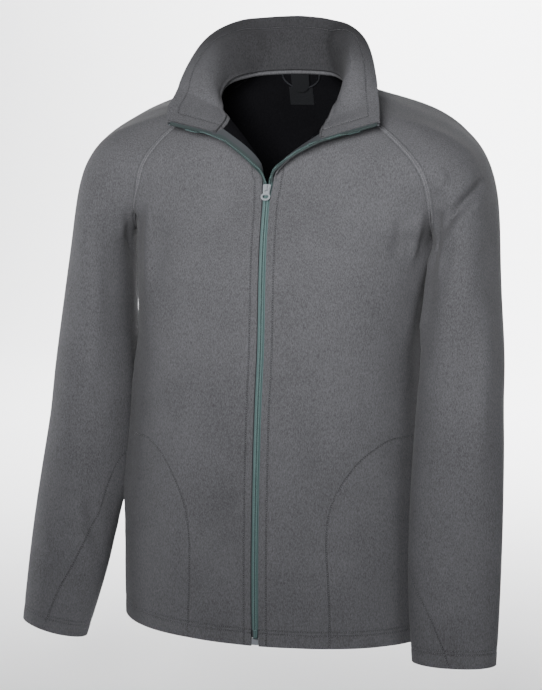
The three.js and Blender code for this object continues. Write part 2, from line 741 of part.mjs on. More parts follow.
// A closed wall between two grids of points, the first one outside
function wallGeometry(outside, inside, turned, closedRound) {
  const rows = outside.length;
  const columns = outside[0].length - (closedRound ? 1 : 0);
  const positions = [];
  for (const layer of [outside, inside]) {
    for (const row of layer) for (let j = 0; j < columns; j += 1) positions.push(...row[j].toArray());
  }
  const at = (layer, i, j) => (layer * rows + i) * columns + (j % columns);
  const index = [];
  const quad = (a, b, c, d, flip) => index.push(...(flip ? [a, c, b, a, d, c] : [a, b, c, a, c, d]));
  const lastColumn = closedRound ? columns : columns - 1;
  for (let i = 0; i + 1 < rows; i += 1) {
    for (let j = 0; j < lastColumn; j += 1) {
      quad(at(0, i, j), at(0, i, j + 1), at(0, i + 1, j + 1), at(0, i + 1, j), turned);
      quad(at(1, i, j), at(1, i, j + 1), at(1, i + 1, j + 1), at(1, i + 1, j), !turned);
    }
  }
  for (let j = 0; j < lastColumn; j += 1) {
    quad(at(1, 0, j), at(1, 0, j + 1), at(0, 0, j + 1), at(0, 0, j), turned);
    quad(at(0, rows - 1, j), at(0, rows - 1, j + 1), at(1, rows - 1, j + 1), at(1, rows - 1, j), turned);
  }
  if (!closedRound) {
    for (let i = 0; i + 1 < rows; i += 1) {
      quad(at(0, i, 0), at(0, i + 1, 0), at(1, i + 1, 0), at(1, i, 0), turned);
      const last = columns - 1;
      quad(at(0, i, last), at(1, i, last), at(1, i + 1, last), at(0, i + 1, last), turned);
    }
  }
  const geometry = new THREE.BufferGeometry();
  geometry.setAttribute("position", new THREE.Float32BufferAttribute(positions, 3));
  geometry.setIndex(index);
  geometry.computeVertexNormals();
  return geometry;
}

// Draws the edges of a piece back from its seams, square to the seam and within the cloth
function pullBack(grid, turned, closedRound) {
  const rows = grid.length;
  const columns = grid[0].length;
  const moved = grid.map((row) => row.map((id) => clothPoints[id].clone()));
  const beside = (j, step) => {
    if (closedRound) return (j + step + columns - 1) % (columns - 1);
    return THREE.MathUtils.clamp(j + step, 0, columns - 1);
  };
  const above = (i, step) => THREE.MathUtils.clamp(i + step, 0, rows - 1);
  const shift = (i, j, before, after, sign) => {
    const run = clothPoints[after].clone().sub(clothPoints[before]).normalize();
    const face = intoPlane(clothNormals[grid[i][j]], run);
    const square = new THREE.Vector3().crossVectors(run, face);
    moved[i][j].addScaledVector(square, (sign * (turned ? -1 : 1) * seamGap) / 2);
  };
  for (let j = 0; j < columns; j += 1) {
    shift(0, j, grid[0][beside(j, -1)], grid[0][beside(j, 1)], -1);
    shift(rows - 1, j, grid[rows - 1][beside(j, -1)], grid[rows - 1][beside(j, 1)], 1);
  }
  if (!closedRound) {
    for (let i = 0; i < rows; i += 1) {
      shift(i, 0, grid[above(i, -1)][0], grid[above(i, 1)][0], 1);
      shift(i, columns - 1, grid[above(i, -1)][columns - 1], grid[above(i, 1)][columns - 1], -1);
    }
  }
  return moved;
}

// Moves both faces of a wall together, so that its edges stay square to the cloth
function clothWall(grid, turned, closedRound, depthOut, depthIn) {
  const backed = pullBack(grid, turned, closedRound);
  const layer = (depth) =>
    backed.map((row, i) => row.map((point, j) => {
      return point.clone().addScaledVector(clothNormals[grid[i][j]], -depth(i));
    }));
  return wallGeometry(layer(depthOut), layer(depthIn), turned, closedRound);
}

const jacket = new THREE.Group();

function addPiece(name, geometry, colour, roughness, metalness = 0) {
  const material = new THREE.MeshStandardMaterial({ color: colour, roughness, metalness });
  const mesh = new THREE.Mesh(geometry, material);
  mesh.name = name;
  jacket.add(mesh);
  return mesh;
}

function addFleece(name, grid, closedRound, depthIn) {
  addPiece(name, clothWall(grid, turnedGrids[name], closedRound, () => 0, depthIn), fleeceColour, 0.95);
}

// The hem and the cuffs are turned up, so the wall is double there
const hemFirst = (i) => (i < 2 ? 2 * fleeceWall : fleeceWall);
for (const name of ["front_left", "front_right", "back"]) addFleece(name, grids[name], false, hemFirst);
for (const name of ["sleeve_left", "sleeve_right"]) {
  const rows = grids[name].length;
  addFleece(name, grids[name], true, (i) => (i >= rows - 2 ? 2 * fleeceWall : fleeceWall));
}
addFleece("collar_outer", grids.collar_outer, false, () => fleeceWall);

const facingStart = fleeceWall + facingGap;
const facingWall = clothWall(
  grids.collar_outer.slice(1),
  turnedGrids.collar_outer,
  false,
  () => facingStart,
  () => facingStart + fleeceWall,
);
addPiece("collar_facing", facingWall, fleeceColour, 0.95);


// Points moved in below a grid of cloth, read at any row and at any distance along it
function underRow(grid, at, depth) {
  const low = Math.min(Math.floor(at), grid.length - 2);
  const share = at - low;
  return grid[low].map((id, j) => {
    const inner = (k) => clothPoints[k].clone().addScaledVector(clothNormals[k], -depth);
    return inner(id).lerp(inner(grid[low + 1][j]), share);
  });
}

function distanceToX(line, x) {
  let run = 0;
  for (let i = 1; i < line.length; i += 1) {
    const [a, b] = [line[i - 1], line[i]];
    const step = a.distanceTo(b);
    if ((a.x - x) * (b.x - x) <= 0) {
      const whole = Math.max(Math.abs(a.x - b.x), 0.01);
      return run + (step * Math.abs(a.x - x)) / whole;
    }
    run += step;
  }
  return run;
}

function between(line, from, to, steps) {
  return Array.from({ length: steps + 1 }, (_, i) => along(line, from + ((to - from) * i) / steps));
}

// Pocket bags: a thin layer under each front, from the curved seam to the side seam
for (const [name, side] of [["left", 1], ["right", -1]]) {
  const grid = grids[`front_${name}`];
  const layer = (depth) =>
    pocketRows.map((at) => {
      const line = underRow(grid, at, depth);
      const curveX = columnAt(pocketTable, "x", line[0].z);
      const start = distanceToX(line, side * curveX);
      return between(line, start, lengthOf(line) - pocketSideInset, pocketSteps);
    });
  const outside = layer(pocketUnder);
  const inside = layer(pocketUnder + pocketWall);
  const bag = wallGeometry(outside, inside, turnedGrids[`front_${name}`], false);
  addPiece(`pocket_bag_${name}`, bag, pocketColour, 0.9);
}

// Zip tapes with their coils, along the front edge and on up the collar edge
function tapeStations(name, side) {
  const front = grids[`front_${name}`];
  const collar = grids.collar_outer.slice(1);
  const stations = [];
  const station = (ids, reach, depth, normalId = null) => {
    const faceAt = (id) => clothNormals[normalId ?? id];
    const under = (share, moved) => {
      const line = ids.map((id) => clothPoints[id].clone().addScaledVector(faceAt(id), -moved));
      return along(line, reach * share);
    };
    const layer = (moved) => [under(1, moved), under(0.5, moved), under(0, moved)];
    const points = ids.map((id) => clothPoints[id]);
    return {
      edge: points[0].clone(),
      next: points[1].clone(),
      normal: faceAt(ids[0]).clone(),
      depth,
      top: reach > 0 ? layer(depth) : null,
      under: reach > 0 ? layer(depth + tapeWall) : null,
    };
  };
  front.forEach((ids, i) => {
    const strip = ids.slice(0, stripSteps + 1).map((id) => clothPoints[id]);
    const reach = Math.min(tapeUnderFabric, lengthOf(strip) * 0.85);
    const wall = i < 2 ? 2 * fleeceWall : fleeceWall;
    const aboveOpening = i - lowerHeights.length - zipRowsAboveUnderarm + 1;
    const turning = blend(-1.5, 0, aboveOpening) * (1 - blend(3, 6, aboveOpening));
    const normalId = aboveOpening === 0 ? front[i - 2][0] : null;
    stations.push(station(ids, reach, wall + layerGap + tapeGapAtTurn * turning, normalId));
  });
  collar.forEach((row) => {
    const ids = side < 0 ? row : [...row].reverse();
    stations.push(station(ids, 0, fleeceWall + layerGap));
  });
  return stations;
}

function mixStations(a, b, share) {
  const mixLines = (p, q) => (p && q ? p.map((point, i) => point.clone().lerp(q[i], share)) : null);
  return {
    edge: a.edge.clone().lerp(b.edge, share),
    next: a.next.clone().lerp(b.next, share),
    normal: a.normal.clone().lerp(b.normal, share).normalize(),
    depth: THREE.MathUtils.lerp(a.depth, b.depth, share),
    top: mixLines(a.top, b.top),
    under: mixLines(a.under, b.under),
  };
}

// Section of a tape at one station: three points under the cloth, then the coil beyond the edge
function tapeSection(stations, i) {
  const here = stations[i];
  const before = stations[Math.max(i - 1, 0)].edge;
  const after = stations[Math.min(i + 1, stations.length - 1)].edge;
  const run = after.clone().sub(before).normalize();
  const beyond = new THREE.Vector3().crossVectors(run, here.normal).normalize();
  if (beyond.dot(here.edge.clone().sub(here.next)) < 0) beyond.negate();
  const at = (out, rise) => {
    return here.edge.clone().addScaledVector(beyond, out).addScaledVector(here.normal, rise);
  };
  const top = -here.depth;
  const bottom = top - tapeWall;
  const starts = [1, 2, 3].map((k) => k * tapeStartAtCollar);
  const upper = here.top ?? starts.map((out) => at(out, top));
  const lower = here.under ?? starts.map((out) => at(out, bottom));
  const coilStart = coilReach - coilWidth;
  return [
    ...upper,
    at(coilStart - 0.2, top),
    at(coilStart, top + coilRise),
    at(coilReach, top + coilRise),
    at(coilReach, bottom),
    at(coilStart - 0.2, bottom),
    ...lower.reverse(),
  ];
}

// Faces that close the end of a tape: the flat strip, then the coil
const tapeEndFaces = [
  [0, 1, 9], [0, 9, 10], [1, 2, 8], [1, 8, 9], [2, 3, 7], [2, 7, 8], [3, 4, 5], [3, 5, 6], [3, 6, 7],
];

function sweptGeometry(sections, turned) {
  const count = sections[0].length;
  const positions = sections.flat().flatMap((point) => point.toArray());
  const index = [];
  const quad = (a, b, c, d) => index.push(...(turned ? [a, c, b, a, d, c] : [a, b, c, a, c, d]));
  for (let i = 0; i + 1 < sections.length; i += 1) {
    for (let j = 0; j < count; j += 1) {
      const k = (j + 1) % count;
      quad(i * count + j, i * count + k, (i + 1) * count + k, (i + 1) * count + j);
    }
  }
  const last = (sections.length - 1) * count;
  for (const [a, b, c] of tapeEndFaces) {
    index.push(...(turned ? [a, b, c] : [a, c, b]));
    index.push(...(turned ? [last + a, last + c, last + b] : [last + a, last + b, last + c]));
  }
  const geometry = new THREE.BufferGeometry();
  geometry.setAttribute("position", new THREE.Float32BufferAttribute(positions, 3));
  geometry.setIndex(index);
  geometry.computeVertexNormals();
  return geometry;
}

const tapeEnds = {};
for (const [name, side] of [["left", 1], ["right", -1]]) {
  const all = tapeStations(name, side);
  const last = all.length - 1;
  all[last] = mixStations(all[last - 1], all[last], tapeTopShare);
  all[0] = mixStations(all[0], all[1], 0.5);
  const sections = all.map((_, i) => tapeSection(all, i));
  tapeEnds[name] = sections.slice(-2);
  addPiece(`zip_tape_${name}`, sweptGeometry(sections, side > 0), zipColour, 0.7);
}

function solidGeometry(solid) {
  const mesh = solid.getMesh();
  const geometry = new THREE.BufferGeometry();
  geometry.setAttribute("position", new THREE.Float32BufferAttribute(mesh.vertProperties, mesh.numProp));
  geometry.setIndex(Array.from(mesh.triVerts));
  const merged = mergeVertices(geometry, 1e-4);
  merged.computeVertexNormals();
  return merged;
}

// Slider frame: across the zip, up along it, and out from the cloth
const tilt = THREE.MathUtils.degToRad(slider.tilt);
const sliderFrame = new THREE.Matrix4().makeBasis(
  outwardX,
  new THREE.Vector3(0, Math.sin(tilt), Math.cos(tilt)),
  new THREE.Vector3(0, -Math.cos(tilt), Math.sin(tilt)),
);
sliderFrame.setPosition(slider.shiftX, columnAt(torsoTable, "front", sliderZ), sliderZ);

function block(fromX, toX, fromUp, toUp, low, high) {
  return Manifold.cube([toX - fromX, toUp - fromUp, high - low]).translate([fromX, fromUp, low]);
}

function plate(inset, low, high) {
  const corners = [
    [slider.topHalf - inset, slider.top - inset],
    [-slider.topHalf + inset, slider.top - inset],
    [-slider.footHalf + inset, slider.foot + inset],
    [slider.footHalf - inset, slider.foot + inset],
  ];
  const sharp = new CrossSection([corners]);
  const rounded = sharp.offset(-slider.corner).offset(slider.corner, "Round", 2, 16);
  return rounded.extrude(high - low).translate([0, 0, low]);
}

function sliderSolid() {
  const arch = block(-crown.half, crown.half, crown.from, crown.to, frontPlate.high - plateBite, crown.high);
  const holeHalf = crown.half + 1;
  const hole = block(-holeHalf, holeHalf, crown.holeFrom, crown.holeTo, frontPlate.high, crown.holeHigh);
  const postLeft = wedge.shiftX - wedge.half;
  const postRight = wedge.shiftX + wedge.half;
  const postLow = rearPlate.high - plateBite;
  const postHigh = frontPlate.low + plateBite;
  const post = block(postLeft, postRight, wedge.from, wedge.to, postLow, postHigh);
  return plate(0, frontPlate.low, frontPlate.high)
    .add(plate(rearPlate.inset, rearPlate.low, rearPlate.high))
    .add(arch.subtract(hole))
    .add(post)
    .transform(sliderFrame.toArray());
}

function ellipse(half, high, middle) {
  return CrossSection.circle(1, 28).scale([half, high]).translate([0, -middle]);
}

function tabSolid() {
  const neckSquare = CrossSection.square([2 * tab.neckHalf, tab.neckFoot + tab.barUp]);
  const neck = neckSquare.translate([-tab.neckHalf, -tab.neckFoot]);
  const slotSquare = CrossSection.square([2 * tab.slotHalf, tab.slotTo - tab.slotFrom]);
  const slot = slotSquare.translate([-tab.slotHalf, -tab.slotTo]);
  return neck
    .add(ellipse(ring.half, ring.high, ring.middle))
    .subtract(slot)
    .subtract(ellipse(ring.holeHalf, ring.holeHigh, ring.middle))
    .extrude(tab.thick)
    .translate([0, hinge.up, hinge.out - tab.thick / 2])
    .transform(sliderFrame.toArray());
}

addPiece("zip_slider", solidGeometry(sliderSolid()), metalColour, 0.35, 0.9);
addPiece("zip_pull_tab", solidGeometry(tabSolid()), metalColour, 0.35, 0.9);

// Bottom box of the zip, between the two folded edges at the hem
const frontAtHem = columnAt(torsoTable, "front", hemZ);
const zipAtHem = columnAt(torsoTable, "zip", hemZ);
const boxGeometry = new THREE.BoxGeometry(2 * box.half, box.out - box.into, box.high - box.low);
boxGeometry.translate(zipAtHem, frontAtHem - (box.out + box.into) / 2, (box.high + box.low) / 2);
const boxShape = mergeVertices(boxGeometry.deleteAttribute("uv").deleteAttribute("normal"));
addPiece("zip_box", boxShape, metalColour, 0.35, 0.9);

// Top stop just above the end of each coil
for (const name of ["left", "right"]) {
  const [before, end] = tapeEnds[name];
  const middle = (section) => section[4].clone().add(section[6]).multiplyScalar(0.5);
  const up = middle(end).sub(middle(before)).normalize();
  const out = intoPlane(end[5].clone().sub(end[6]), up);
  const across = new THREE.Vector3().crossVectors(up, out);
  const inward = intoPlane(end[4].clone().sub(end[5]), up).multiplyScalar(coilWidth / 2);
  const centre = end[5].clone().add(end[6]).multiplyScalar(0.5).add(inward);
  centre.addScaledVector(up, stop.gap + stop.long / 2);
  const geometry = new THREE.BoxGeometry(stop.wide, stop.long, stop.high);
  geometry.applyMatrix4(new THREE.Matrix4().makeBasis(across, up, out));
  geometry.translate(...centre.toArray());
  const stopShape = mergeVertices(geometry.deleteAttribute("uv").deleteAttribute("normal"));
  addPiece(`zip_stop_${name}`, stopShape, metalColour, 0.35, 0.9);
}

// Point under the back at a place seen from the front, at a depth below its outer face
function underBack(x, z, depth) {
  const grid = grids.back;
  const middle = Math.round(grid[0].length / 2);
  const heightOf = (at) => along(underRow(grid, at, depth), distanceToX(underRow(grid, at, depth), x)).z;
  let low = grid.length - middle;
  let high = grid.length - 1;
  for (let i = 0; i < 24; i += 1) {
    const at = (low + high) / 2;
    if (heightOf(at) > z) high = at;
    else low = at;
  }
  const line = underRow(grid, low, depth);
  return along(line, distanceToX(line, x));
}

function patchUnderBack(rows, depth, thick, steps) {
  const layer = (at) =>
    rows.map(({ z, fromX, toX }) => {
      return Array.from({ length: steps + 1 }, (_, i) => {
        const x = fromX + ((toX - fromX) * i) / steps;
        return underBack(x, z, at);
      });
    });
  return wallGeometry(layer(depth), layer(depth + thick), true, false);
}

const labelRows = [0, 0.5, 1].map((u) => {
  return { z: THREE.MathUtils.lerp(label.foot, label.top, u), fromX: label.fromX, toX: label.toX };
});
addPiece("neck_label", patchUnderBack(labelRows, label.depth, label.thick, label.steps), labelColour, 0.8);

// Size tab with a round foot
const sizeTabRows = [0.02, 0.08, 0.2, 0.35, 0.5, 0.75, 1].map((u) => {
  const half = u < 0.5 ? sizeTab.half * Math.sqrt(1 - (1 - 2 * u) ** 2) : sizeTab.half;
  const z = THREE.MathUtils.lerp(sizeTab.foot, sizeTab.top, u);
  return { z, fromX: sizeTab.middleX - half, toX: sizeTab.middleX + half };
});
const tabPatch = patchUnderBack(sizeTabRows, sizeTab.depth, sizeTab.thick, sizeTab.steps);
addPiece("size_tab", tabPatch, labelColour, 0.8);

// Hanger loop: a round cord that hangs in a bow from the neck seam
function loopGeometry() {
  const path = [];
  for (let i = 0; i <= loopCord.steps; i += 1) {
    const angle = (Math.PI * i) / loopCord.steps;
    const x = loopCord.middleX - loopCord.half * Math.cos(angle);
    path.push(underBack(x, loopCord.top - loopCord.drop * Math.sin(angle), loopCord.depth));
  }
  const positions = [];
  path.forEach((point, i) => {
    const run = path[Math.min(i + 1, loopCord.steps)].clone().sub(path[Math.max(i - 1, 0)]).normalize();
    const side = intoPlane(new THREE.Vector3(0, 1, 0), run);
    const other = new THREE.Vector3().crossVectors(run, side);
    for (let k = 0; k < loopCord.sides; k += 1) {
      const angle = (2 * Math.PI * k) / loopCord.sides;
      const ringPoint = point.clone().addScaledVector(side, Math.cos(angle) * loopCord.radius);
      positions.push(...ringPoint.addScaledVector(other, Math.sin(angle) * loopCord.radius).toArray());
    }
  });
  const index = [];
  for (let i = 0; i < loopCord.steps; i += 1) {
    for (let k = 0; k < loopCord.sides; k += 1) {
      const next = (k + 1) % loopCord.sides;
      const [a, b] = [i * loopCord.sides + k, i * loopCord.sides + next];
      index.push(a, b, b + loopCord.sides, a, b + loopCord.sides, a + loopCord.sides);
    }
  }
  const last = loopCord.steps * loopCord.sides;
  for (let k = 1; k + 1 < loopCord.sides; k += 1) index.push(0, k + 1, k, last, last + k, last + k + 1);
  const geometry = new THREE.BufferGeometry();
  geometry.setAttribute("position", new THREE.Float32BufferAttribute(positions, 3));
  geometry.setIndex(index);
  geometry.computeVertexNormals();
  return geometry;
}

addPiece("hanger_loop", loopGeometry(), cordColour, 0.85);

export default jacket;
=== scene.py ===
import bpy
import bmesh
import math
import numpy as np
from mathutils import Matrix, Vector, kdtree


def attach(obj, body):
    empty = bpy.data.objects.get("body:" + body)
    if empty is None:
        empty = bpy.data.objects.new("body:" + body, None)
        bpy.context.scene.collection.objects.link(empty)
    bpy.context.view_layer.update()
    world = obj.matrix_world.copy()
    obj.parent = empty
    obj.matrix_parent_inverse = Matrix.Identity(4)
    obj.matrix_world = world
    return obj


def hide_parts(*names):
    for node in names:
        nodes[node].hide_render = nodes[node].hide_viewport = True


# Fleece zip jacket. Metres; the front faces -Y, the wearer's left is +X.
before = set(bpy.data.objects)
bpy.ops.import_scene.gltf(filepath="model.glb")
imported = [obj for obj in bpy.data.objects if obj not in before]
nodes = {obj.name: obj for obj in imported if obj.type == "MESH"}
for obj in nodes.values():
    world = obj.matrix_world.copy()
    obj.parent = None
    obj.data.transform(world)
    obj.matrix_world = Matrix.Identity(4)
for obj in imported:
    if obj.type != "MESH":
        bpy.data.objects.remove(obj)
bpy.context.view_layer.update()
mm = 0.001
print("frame loaded:", len(nodes), "nodes")


# Camera, light and floor
camera = {
    "place": (0.6182, -2.3817, 0.0626),
    "target": (-0.020, 0.0, -0.350),
    "lens": 95.74,
    "sensor": 36,
    "farthest": 30,
}
stage = {
    "floorZ": -0.90, "wallY": 3.6, "halfWidth": 5.0, "front": -3.2, "height": 3.6,
    "bend": 0.9, "bendSteps": 16, "light": "FBFBFC", "dark": "F7F7F8",
}
sky = {"colour": "F2F4F8", "strength": 0.13}
lights = {
    "key": {"place": (0.1, -2.0, 0.42), "aim": (0.05, 0, 0.08), "size": 0.9, "power": 12, "spread": 62},
    "left": {"place": (-2.3, 0.35, -0.2), "aim": (-0.2, 0, -0.3), "size": 0.9, "power": 52, "spread": 180},
    "right": {"place": (1.9, -1.8, 0.0), "aim": (0.2, 0, -0.2), "size": 1.0, "power": 16, "spread": 180},
    "board": {"place": (0.0, 1.6, 1.6), "aim": (0, 3.6, 0.3), "size": 1.6, "power": 430, "spread": 180},
}


def toLinear(hexText):
    channels = [int(hexText[i:i + 2], 16) / 255 for i in (0, 2, 4)]
    linear = [c / 12.92 if c <= 0.04045 else ((c + 0.055) / 1.055) ** 2.4 for c in channels]
    return (*linear, 1.0)


def addNode(tree, kind, settings=None, inputs=None, links=None):
    made = tree.nodes.new(kind)
    for key, value in (settings or {}).items():
        setattr(made, key, value)
    for key, value in (inputs or {}).items():
        made.inputs[key].default_value = value
    for key, source in (links or {}).items():
        tree.links.new(source, made.inputs[key])
    return made


def startMaterial(name, inputs):
    material = bpy.data.materials.new(name)
    material.use_nodes = True
    tree = material.node_tree
    shader = tree.nodes["Principled BSDF"]
    for key, value in inputs.items():
        shader.inputs[key].default_value = value
    return material, tree, shader


def tintedMaterial(name, inputs, grain, detail, colours):
    # A base colour that wanders between two tones with a fine noise.
    material, tree, shader = startMaterial(name, inputs)
    place = addNode(tree, "ShaderNodeTexCoord").outputs["Object"]
    noise = addNode(tree, "ShaderNodeTexNoise", inputs={"Scale": grain, "Detail": detail},
                    links={"Vector": place}).outputs["Fac"]
    tint = addNode(tree, "ShaderNodeMix", {"data_type": "RGBA"}, links={0: noise})
    tint.inputs[6].default_value = toLinear(colours[0])
    tint.inputs[7].default_value = toLinear(colours[1])
    tree.links.new(tint.outputs[2], shader.inputs["Base Color"])
    return material, tree, shader, noise


def linkObject(name, mesh):
    made = bpy.data.objects.new(name, mesh)
    bpy.context.scene.collection.objects.link(made)
    return made


def aimAt(thing, target):
    thing.rotation_euler = (Vector(target) - thing.location).to_track_quat("-Z", "Y").to_euler()


cameraData = bpy.data.cameras.new("camera")
cameraData.lens = camera["lens"]
cameraData.sensor_width = camera["sensor"]
cameraData.clip_end = camera["farthest"]
cameraObject = linkObject("camera", cameraData)
cameraObject.location = camera["place"]
aimAt(cameraObject, camera["target"])
bpy.context.scene.camera = cameraObject

for lightName, light in lights.items():
    lightData = bpy.data.lights.new(lightName, "AREA")
    lightData.shape = "DISK"
    lightData.size = light["size"]
    lightData.energy = light["power"]
    lightData.spread = math.radians(light["spread"])
    lightObject = linkObject(lightName, lightData)
    lightObject.location = light["place"]
    aimAt(lightObject, light["aim"])

world = bpy.data.worlds.new("studio")
world.use_nodes = True
world.node_tree.nodes["Background"].inputs["Color"].default_value = toLinear(sky["colour"])
world.node_tree.nodes["Background"].inputs["Strength"].default_value = sky["strength"]
bpy.context.scene.world = world

# One pale sheet bent up behind the jacket, as in a photo studio.
backdropMesh = bpy.data.meshes.new("studio_backdrop")
bm = bmesh.new()
bmesh.ops.create_grid(bm, x_segments=1, y_segments=1, size=1.0)
for v in bm.verts:
    v.co.x *= stage["halfWidth"]
    v.co.y = stage["front"] if v.co.y < 0 else stage["wallY"]
    v.co.z = stage["floorZ"]
backEdge = [e for e in bm.edges if all(v.co.y > 0 for v in e.verts)]
raised = bmesh.ops.extrude_edge_only(bm, edges=backEdge)["geom"]
raisedVerts = [g for g in raised if isinstance(g, bmesh.types.BMVert)]
bmesh.ops.translate(bm, verts=raisedVerts, vec=(0, 0, stage["height"]))
bmesh.ops.bevel(bm, geom=backEdge, offset=stage["bend"], affect="EDGES", segments=stage["bendSteps"],
                profile=0.5, material=-1)
bmesh.ops.recalc_face_normals(bm, faces=bm.faces)
bm.to_mesh(backdropMesh)
bm.free()
for face in backdropMesh.polygons:
    face.use_smooth = True
backdrop = linkObject("studio_backdrop", backdropMesh)
# Matt painted studio board: an even pale ground without gloss.
boardPaint = tintedMaterial("painted_studio_board", {"Roughness": 0.9, "IOR": 1.45}, 3.0, 2.0,
                            (stage["light"], stage["dark"]))[0]
backdropMesh.materials.append(boardPaint)
print("camera, light and floor made")


# Cloth walls, each from its own CAD solid
wall = {
    "levels": 3,
    "rimAngle": 50,          # degrees: a sharper edge is a rim of the wall
    "sewnReach": 4.0,        # mm: how near another piece's rim counts as sewn to it
    "collarReach": 9.0,      # mm: the same for the two collar layers
    "evenOut": 13.0,         # mm: outward directions are averaged over about this
    "evenCount": 9,          # and over this many corners
    "hemFrom": -690,         # mm: a level free edge below this is the hem
    "neckFrom": -90,         # mm: rims above this belong to the neck seam
    "ripple": 0.7,           # mm: slight unevenness all over
    "foldShare": 1.25,       # deepens or calms every fold below
    "still": (4, 26),        # mm from a free edge: where folds begin, and where they are full
}
bodyWalls = ["front_left", "front_right", "back", "sleeve_left", "sleeve_right"]
collarWalls = ["collar_outer", "collar_facing"]


def mergedCopy(name, rimAngle):
    bm = bmesh.new()
    bm.from_mesh(nodes[name].data)
    bmesh.ops.remove_doubles(bm, verts=bm.verts, dist=2e-6)
    bmesh.ops.join_triangles(bm, faces=bm.faces, angle_face_threshold=math.radians(60),
                             angle_shape_threshold=math.radians(80))
    crease = bm.edges.layers.float.new("crease_edge")
    for edge in bm.edges:
        if edge.calc_face_angle(0) > math.radians(rimAngle):
            edge[crease] = 1.0
            edge.smooth = False
    return bm, crease


def sidesOf(bm, crease):
    # Faces that join without crossing a creased rim make one side of the wall.
    unseen = set(bm.faces)
    sides = []
    while unseen:
        side = [unseen.pop()]
        for face in side:
            for edge in face.edges:
                if edge[crease] < 0.5:
                    for other in edge.link_faces:
                        if other in unseen:
                            unseen.discard(other)
                            side.append(other)
        sides.append(side)
    sides.sort(key=lambda s: -sum(f.calc_area() for f in s))
    return sides[0], sides[1]


def facesOut(side, middle):
    total = 0.0
    for face in side:
        centre = face.calc_center_median()
        away = centre - middle if middle else centre - Vector((0, 0.01, centre.z))
        total += face.calc_area() * face.normal.dot(away)
    return total


walls = {}
for name in bodyWalls + collarWalls:
    bm, crease = mergedCopy(name, wall["rimAngle"])
    first, second = sidesOf(bm, crease)
    middle = None
    if name.startswith("sleeve"):
        middle = sum((v.co for v in bm.verts), Vector()) / len(bm.verts)
    # The facing shows the side that looks into the neck.
    if (facesOut(first, middle) < facesOut(second, middle)) != (name == "collar_facing"):
        first, second = second, first
    outside, inside = set(first), set(second)
    for face in bm.faces:
        face.smooth = True
        face.material_index = 0 if face in outside else 1 if face in inside else 2
    walls[name] = {"bm": bm, "outside": outside}

# One outward direction for both sides of a wall and for the pieces sewn to it, so seams stay closed.
samples = []
for name, piece in walls.items():
    if name != "collar_facing":
        for v in piece["bm"].verts:
            own = [f for f in v.link_faces if f in piece["outside"]]
            if own:
                total = sum((f.normal * f.calc_area() for f in own), Vector())
                samples.append((v.co.copy(), total.normalized()))
outwardTree = kdtree.KDTree(len(samples))
for index, (place, direction) in enumerate(samples):
    outwardTree.insert(place, index)
outwardTree.balance()


def outwardAt(place, guess):
    near = outwardTree.find_n(place, wall["evenCount"])
    if guess is None:
        guess = samples[near[0][1]][1]
    total = Vector()
    for _, index, distance in near:
        direction = samples[index][1]
        share = math.exp(-0.5 * (distance / (wall["evenOut"] * mm)) ** 2)
        total += direction * max(0.0, direction.dot(guess)) * share
    return total.normalized() if total.length > 0 else guess


def smoothed(name, bm, levels):
    mesh = bpy.data.meshes.new(name + "_cage")
    bm.to_mesh(mesh)
    bm.free()
    cage = linkObject(name + "_cage", mesh)
    smooth = cage.modifiers.new("smooth", "SUBSURF")
    smooth.levels = smooth.render_levels = levels
    shaped = bpy.data.meshes.new_from_object(cage.evaluated_get(bpy.context.evaluated_depsgraph_get()))
    bpy.data.objects.remove(cage)
    return shaped


def finishedWall(name, piece):
    bm = piece["bm"]
    outward = bm.verts.layers.float_vector.new("outward")
    turn = -1 if name == "collar_facing" else 1
    for v in bm.verts:
        kinds = {f.material_index for f in v.link_faces}
        guess = None
        if kinds == {0}:
            guess = v.normal * turn
        elif kinds == {1}:
            guess = -v.normal * turn
        v[outward] = outwardAt(v.co, guess) * turn
    shaped = smoothed(name, bm, wall["levels"])
    shaped.name = name + "_fleece"
    return shaped


def pointsOf(mesh):
    points = np.empty(len(mesh.vertices) * 3)
    mesh.vertices.foreach_get("co", points)
    return points.reshape(-1, 3) / mm


def vectorsOf(mesh, name):
    values = np.empty(len(mesh.vertices) * 3)
    mesh.attributes[name].data.foreach_get("vector", values)
    values = values.reshape(-1, 3)
    return values / np.maximum(np.linalg.norm(values, axis=1), 1e-9)[:, None]


def rimEdges(mesh):
    # Edges between the outside and the rim of a finished wall.
    owners = {}
    for polygon in mesh.polygons:
        for key in polygon.edge_keys:
            owners.setdefault(key, set()).add(polygon.material_index)
    return [key for key, kinds in owners.items() if 0 in kinds and len(kinds) > 1]


for name, piece in walls.items():
    piece["mesh"] = finishedWall(name, piece)
    piece["points"] = pointsOf(piece["mesh"])
    piece["outward"] = vectorsOf(piece["mesh"], "outward")
    piece["rims"] = rimEdges(piece["mesh"])
print("walls smoothed:", sum(len(p["mesh"].polygons) * 2 for p in walls.values()), "triangles")


# Distances to sewn seams, hems and front edges, which the stitches, grooves and materials follow
def treeOf(points):
    tree = kdtree.KDTree(max(1, len(points)))
    for index, point in enumerate(points):
        tree.insert(point, index)
    tree.balance()
    return tree


rimTrees = {}
for name, piece in walls.items():
    rimTrees[name] = treeOf([piece["points"][i] for key in piece["rims"] for i in key])

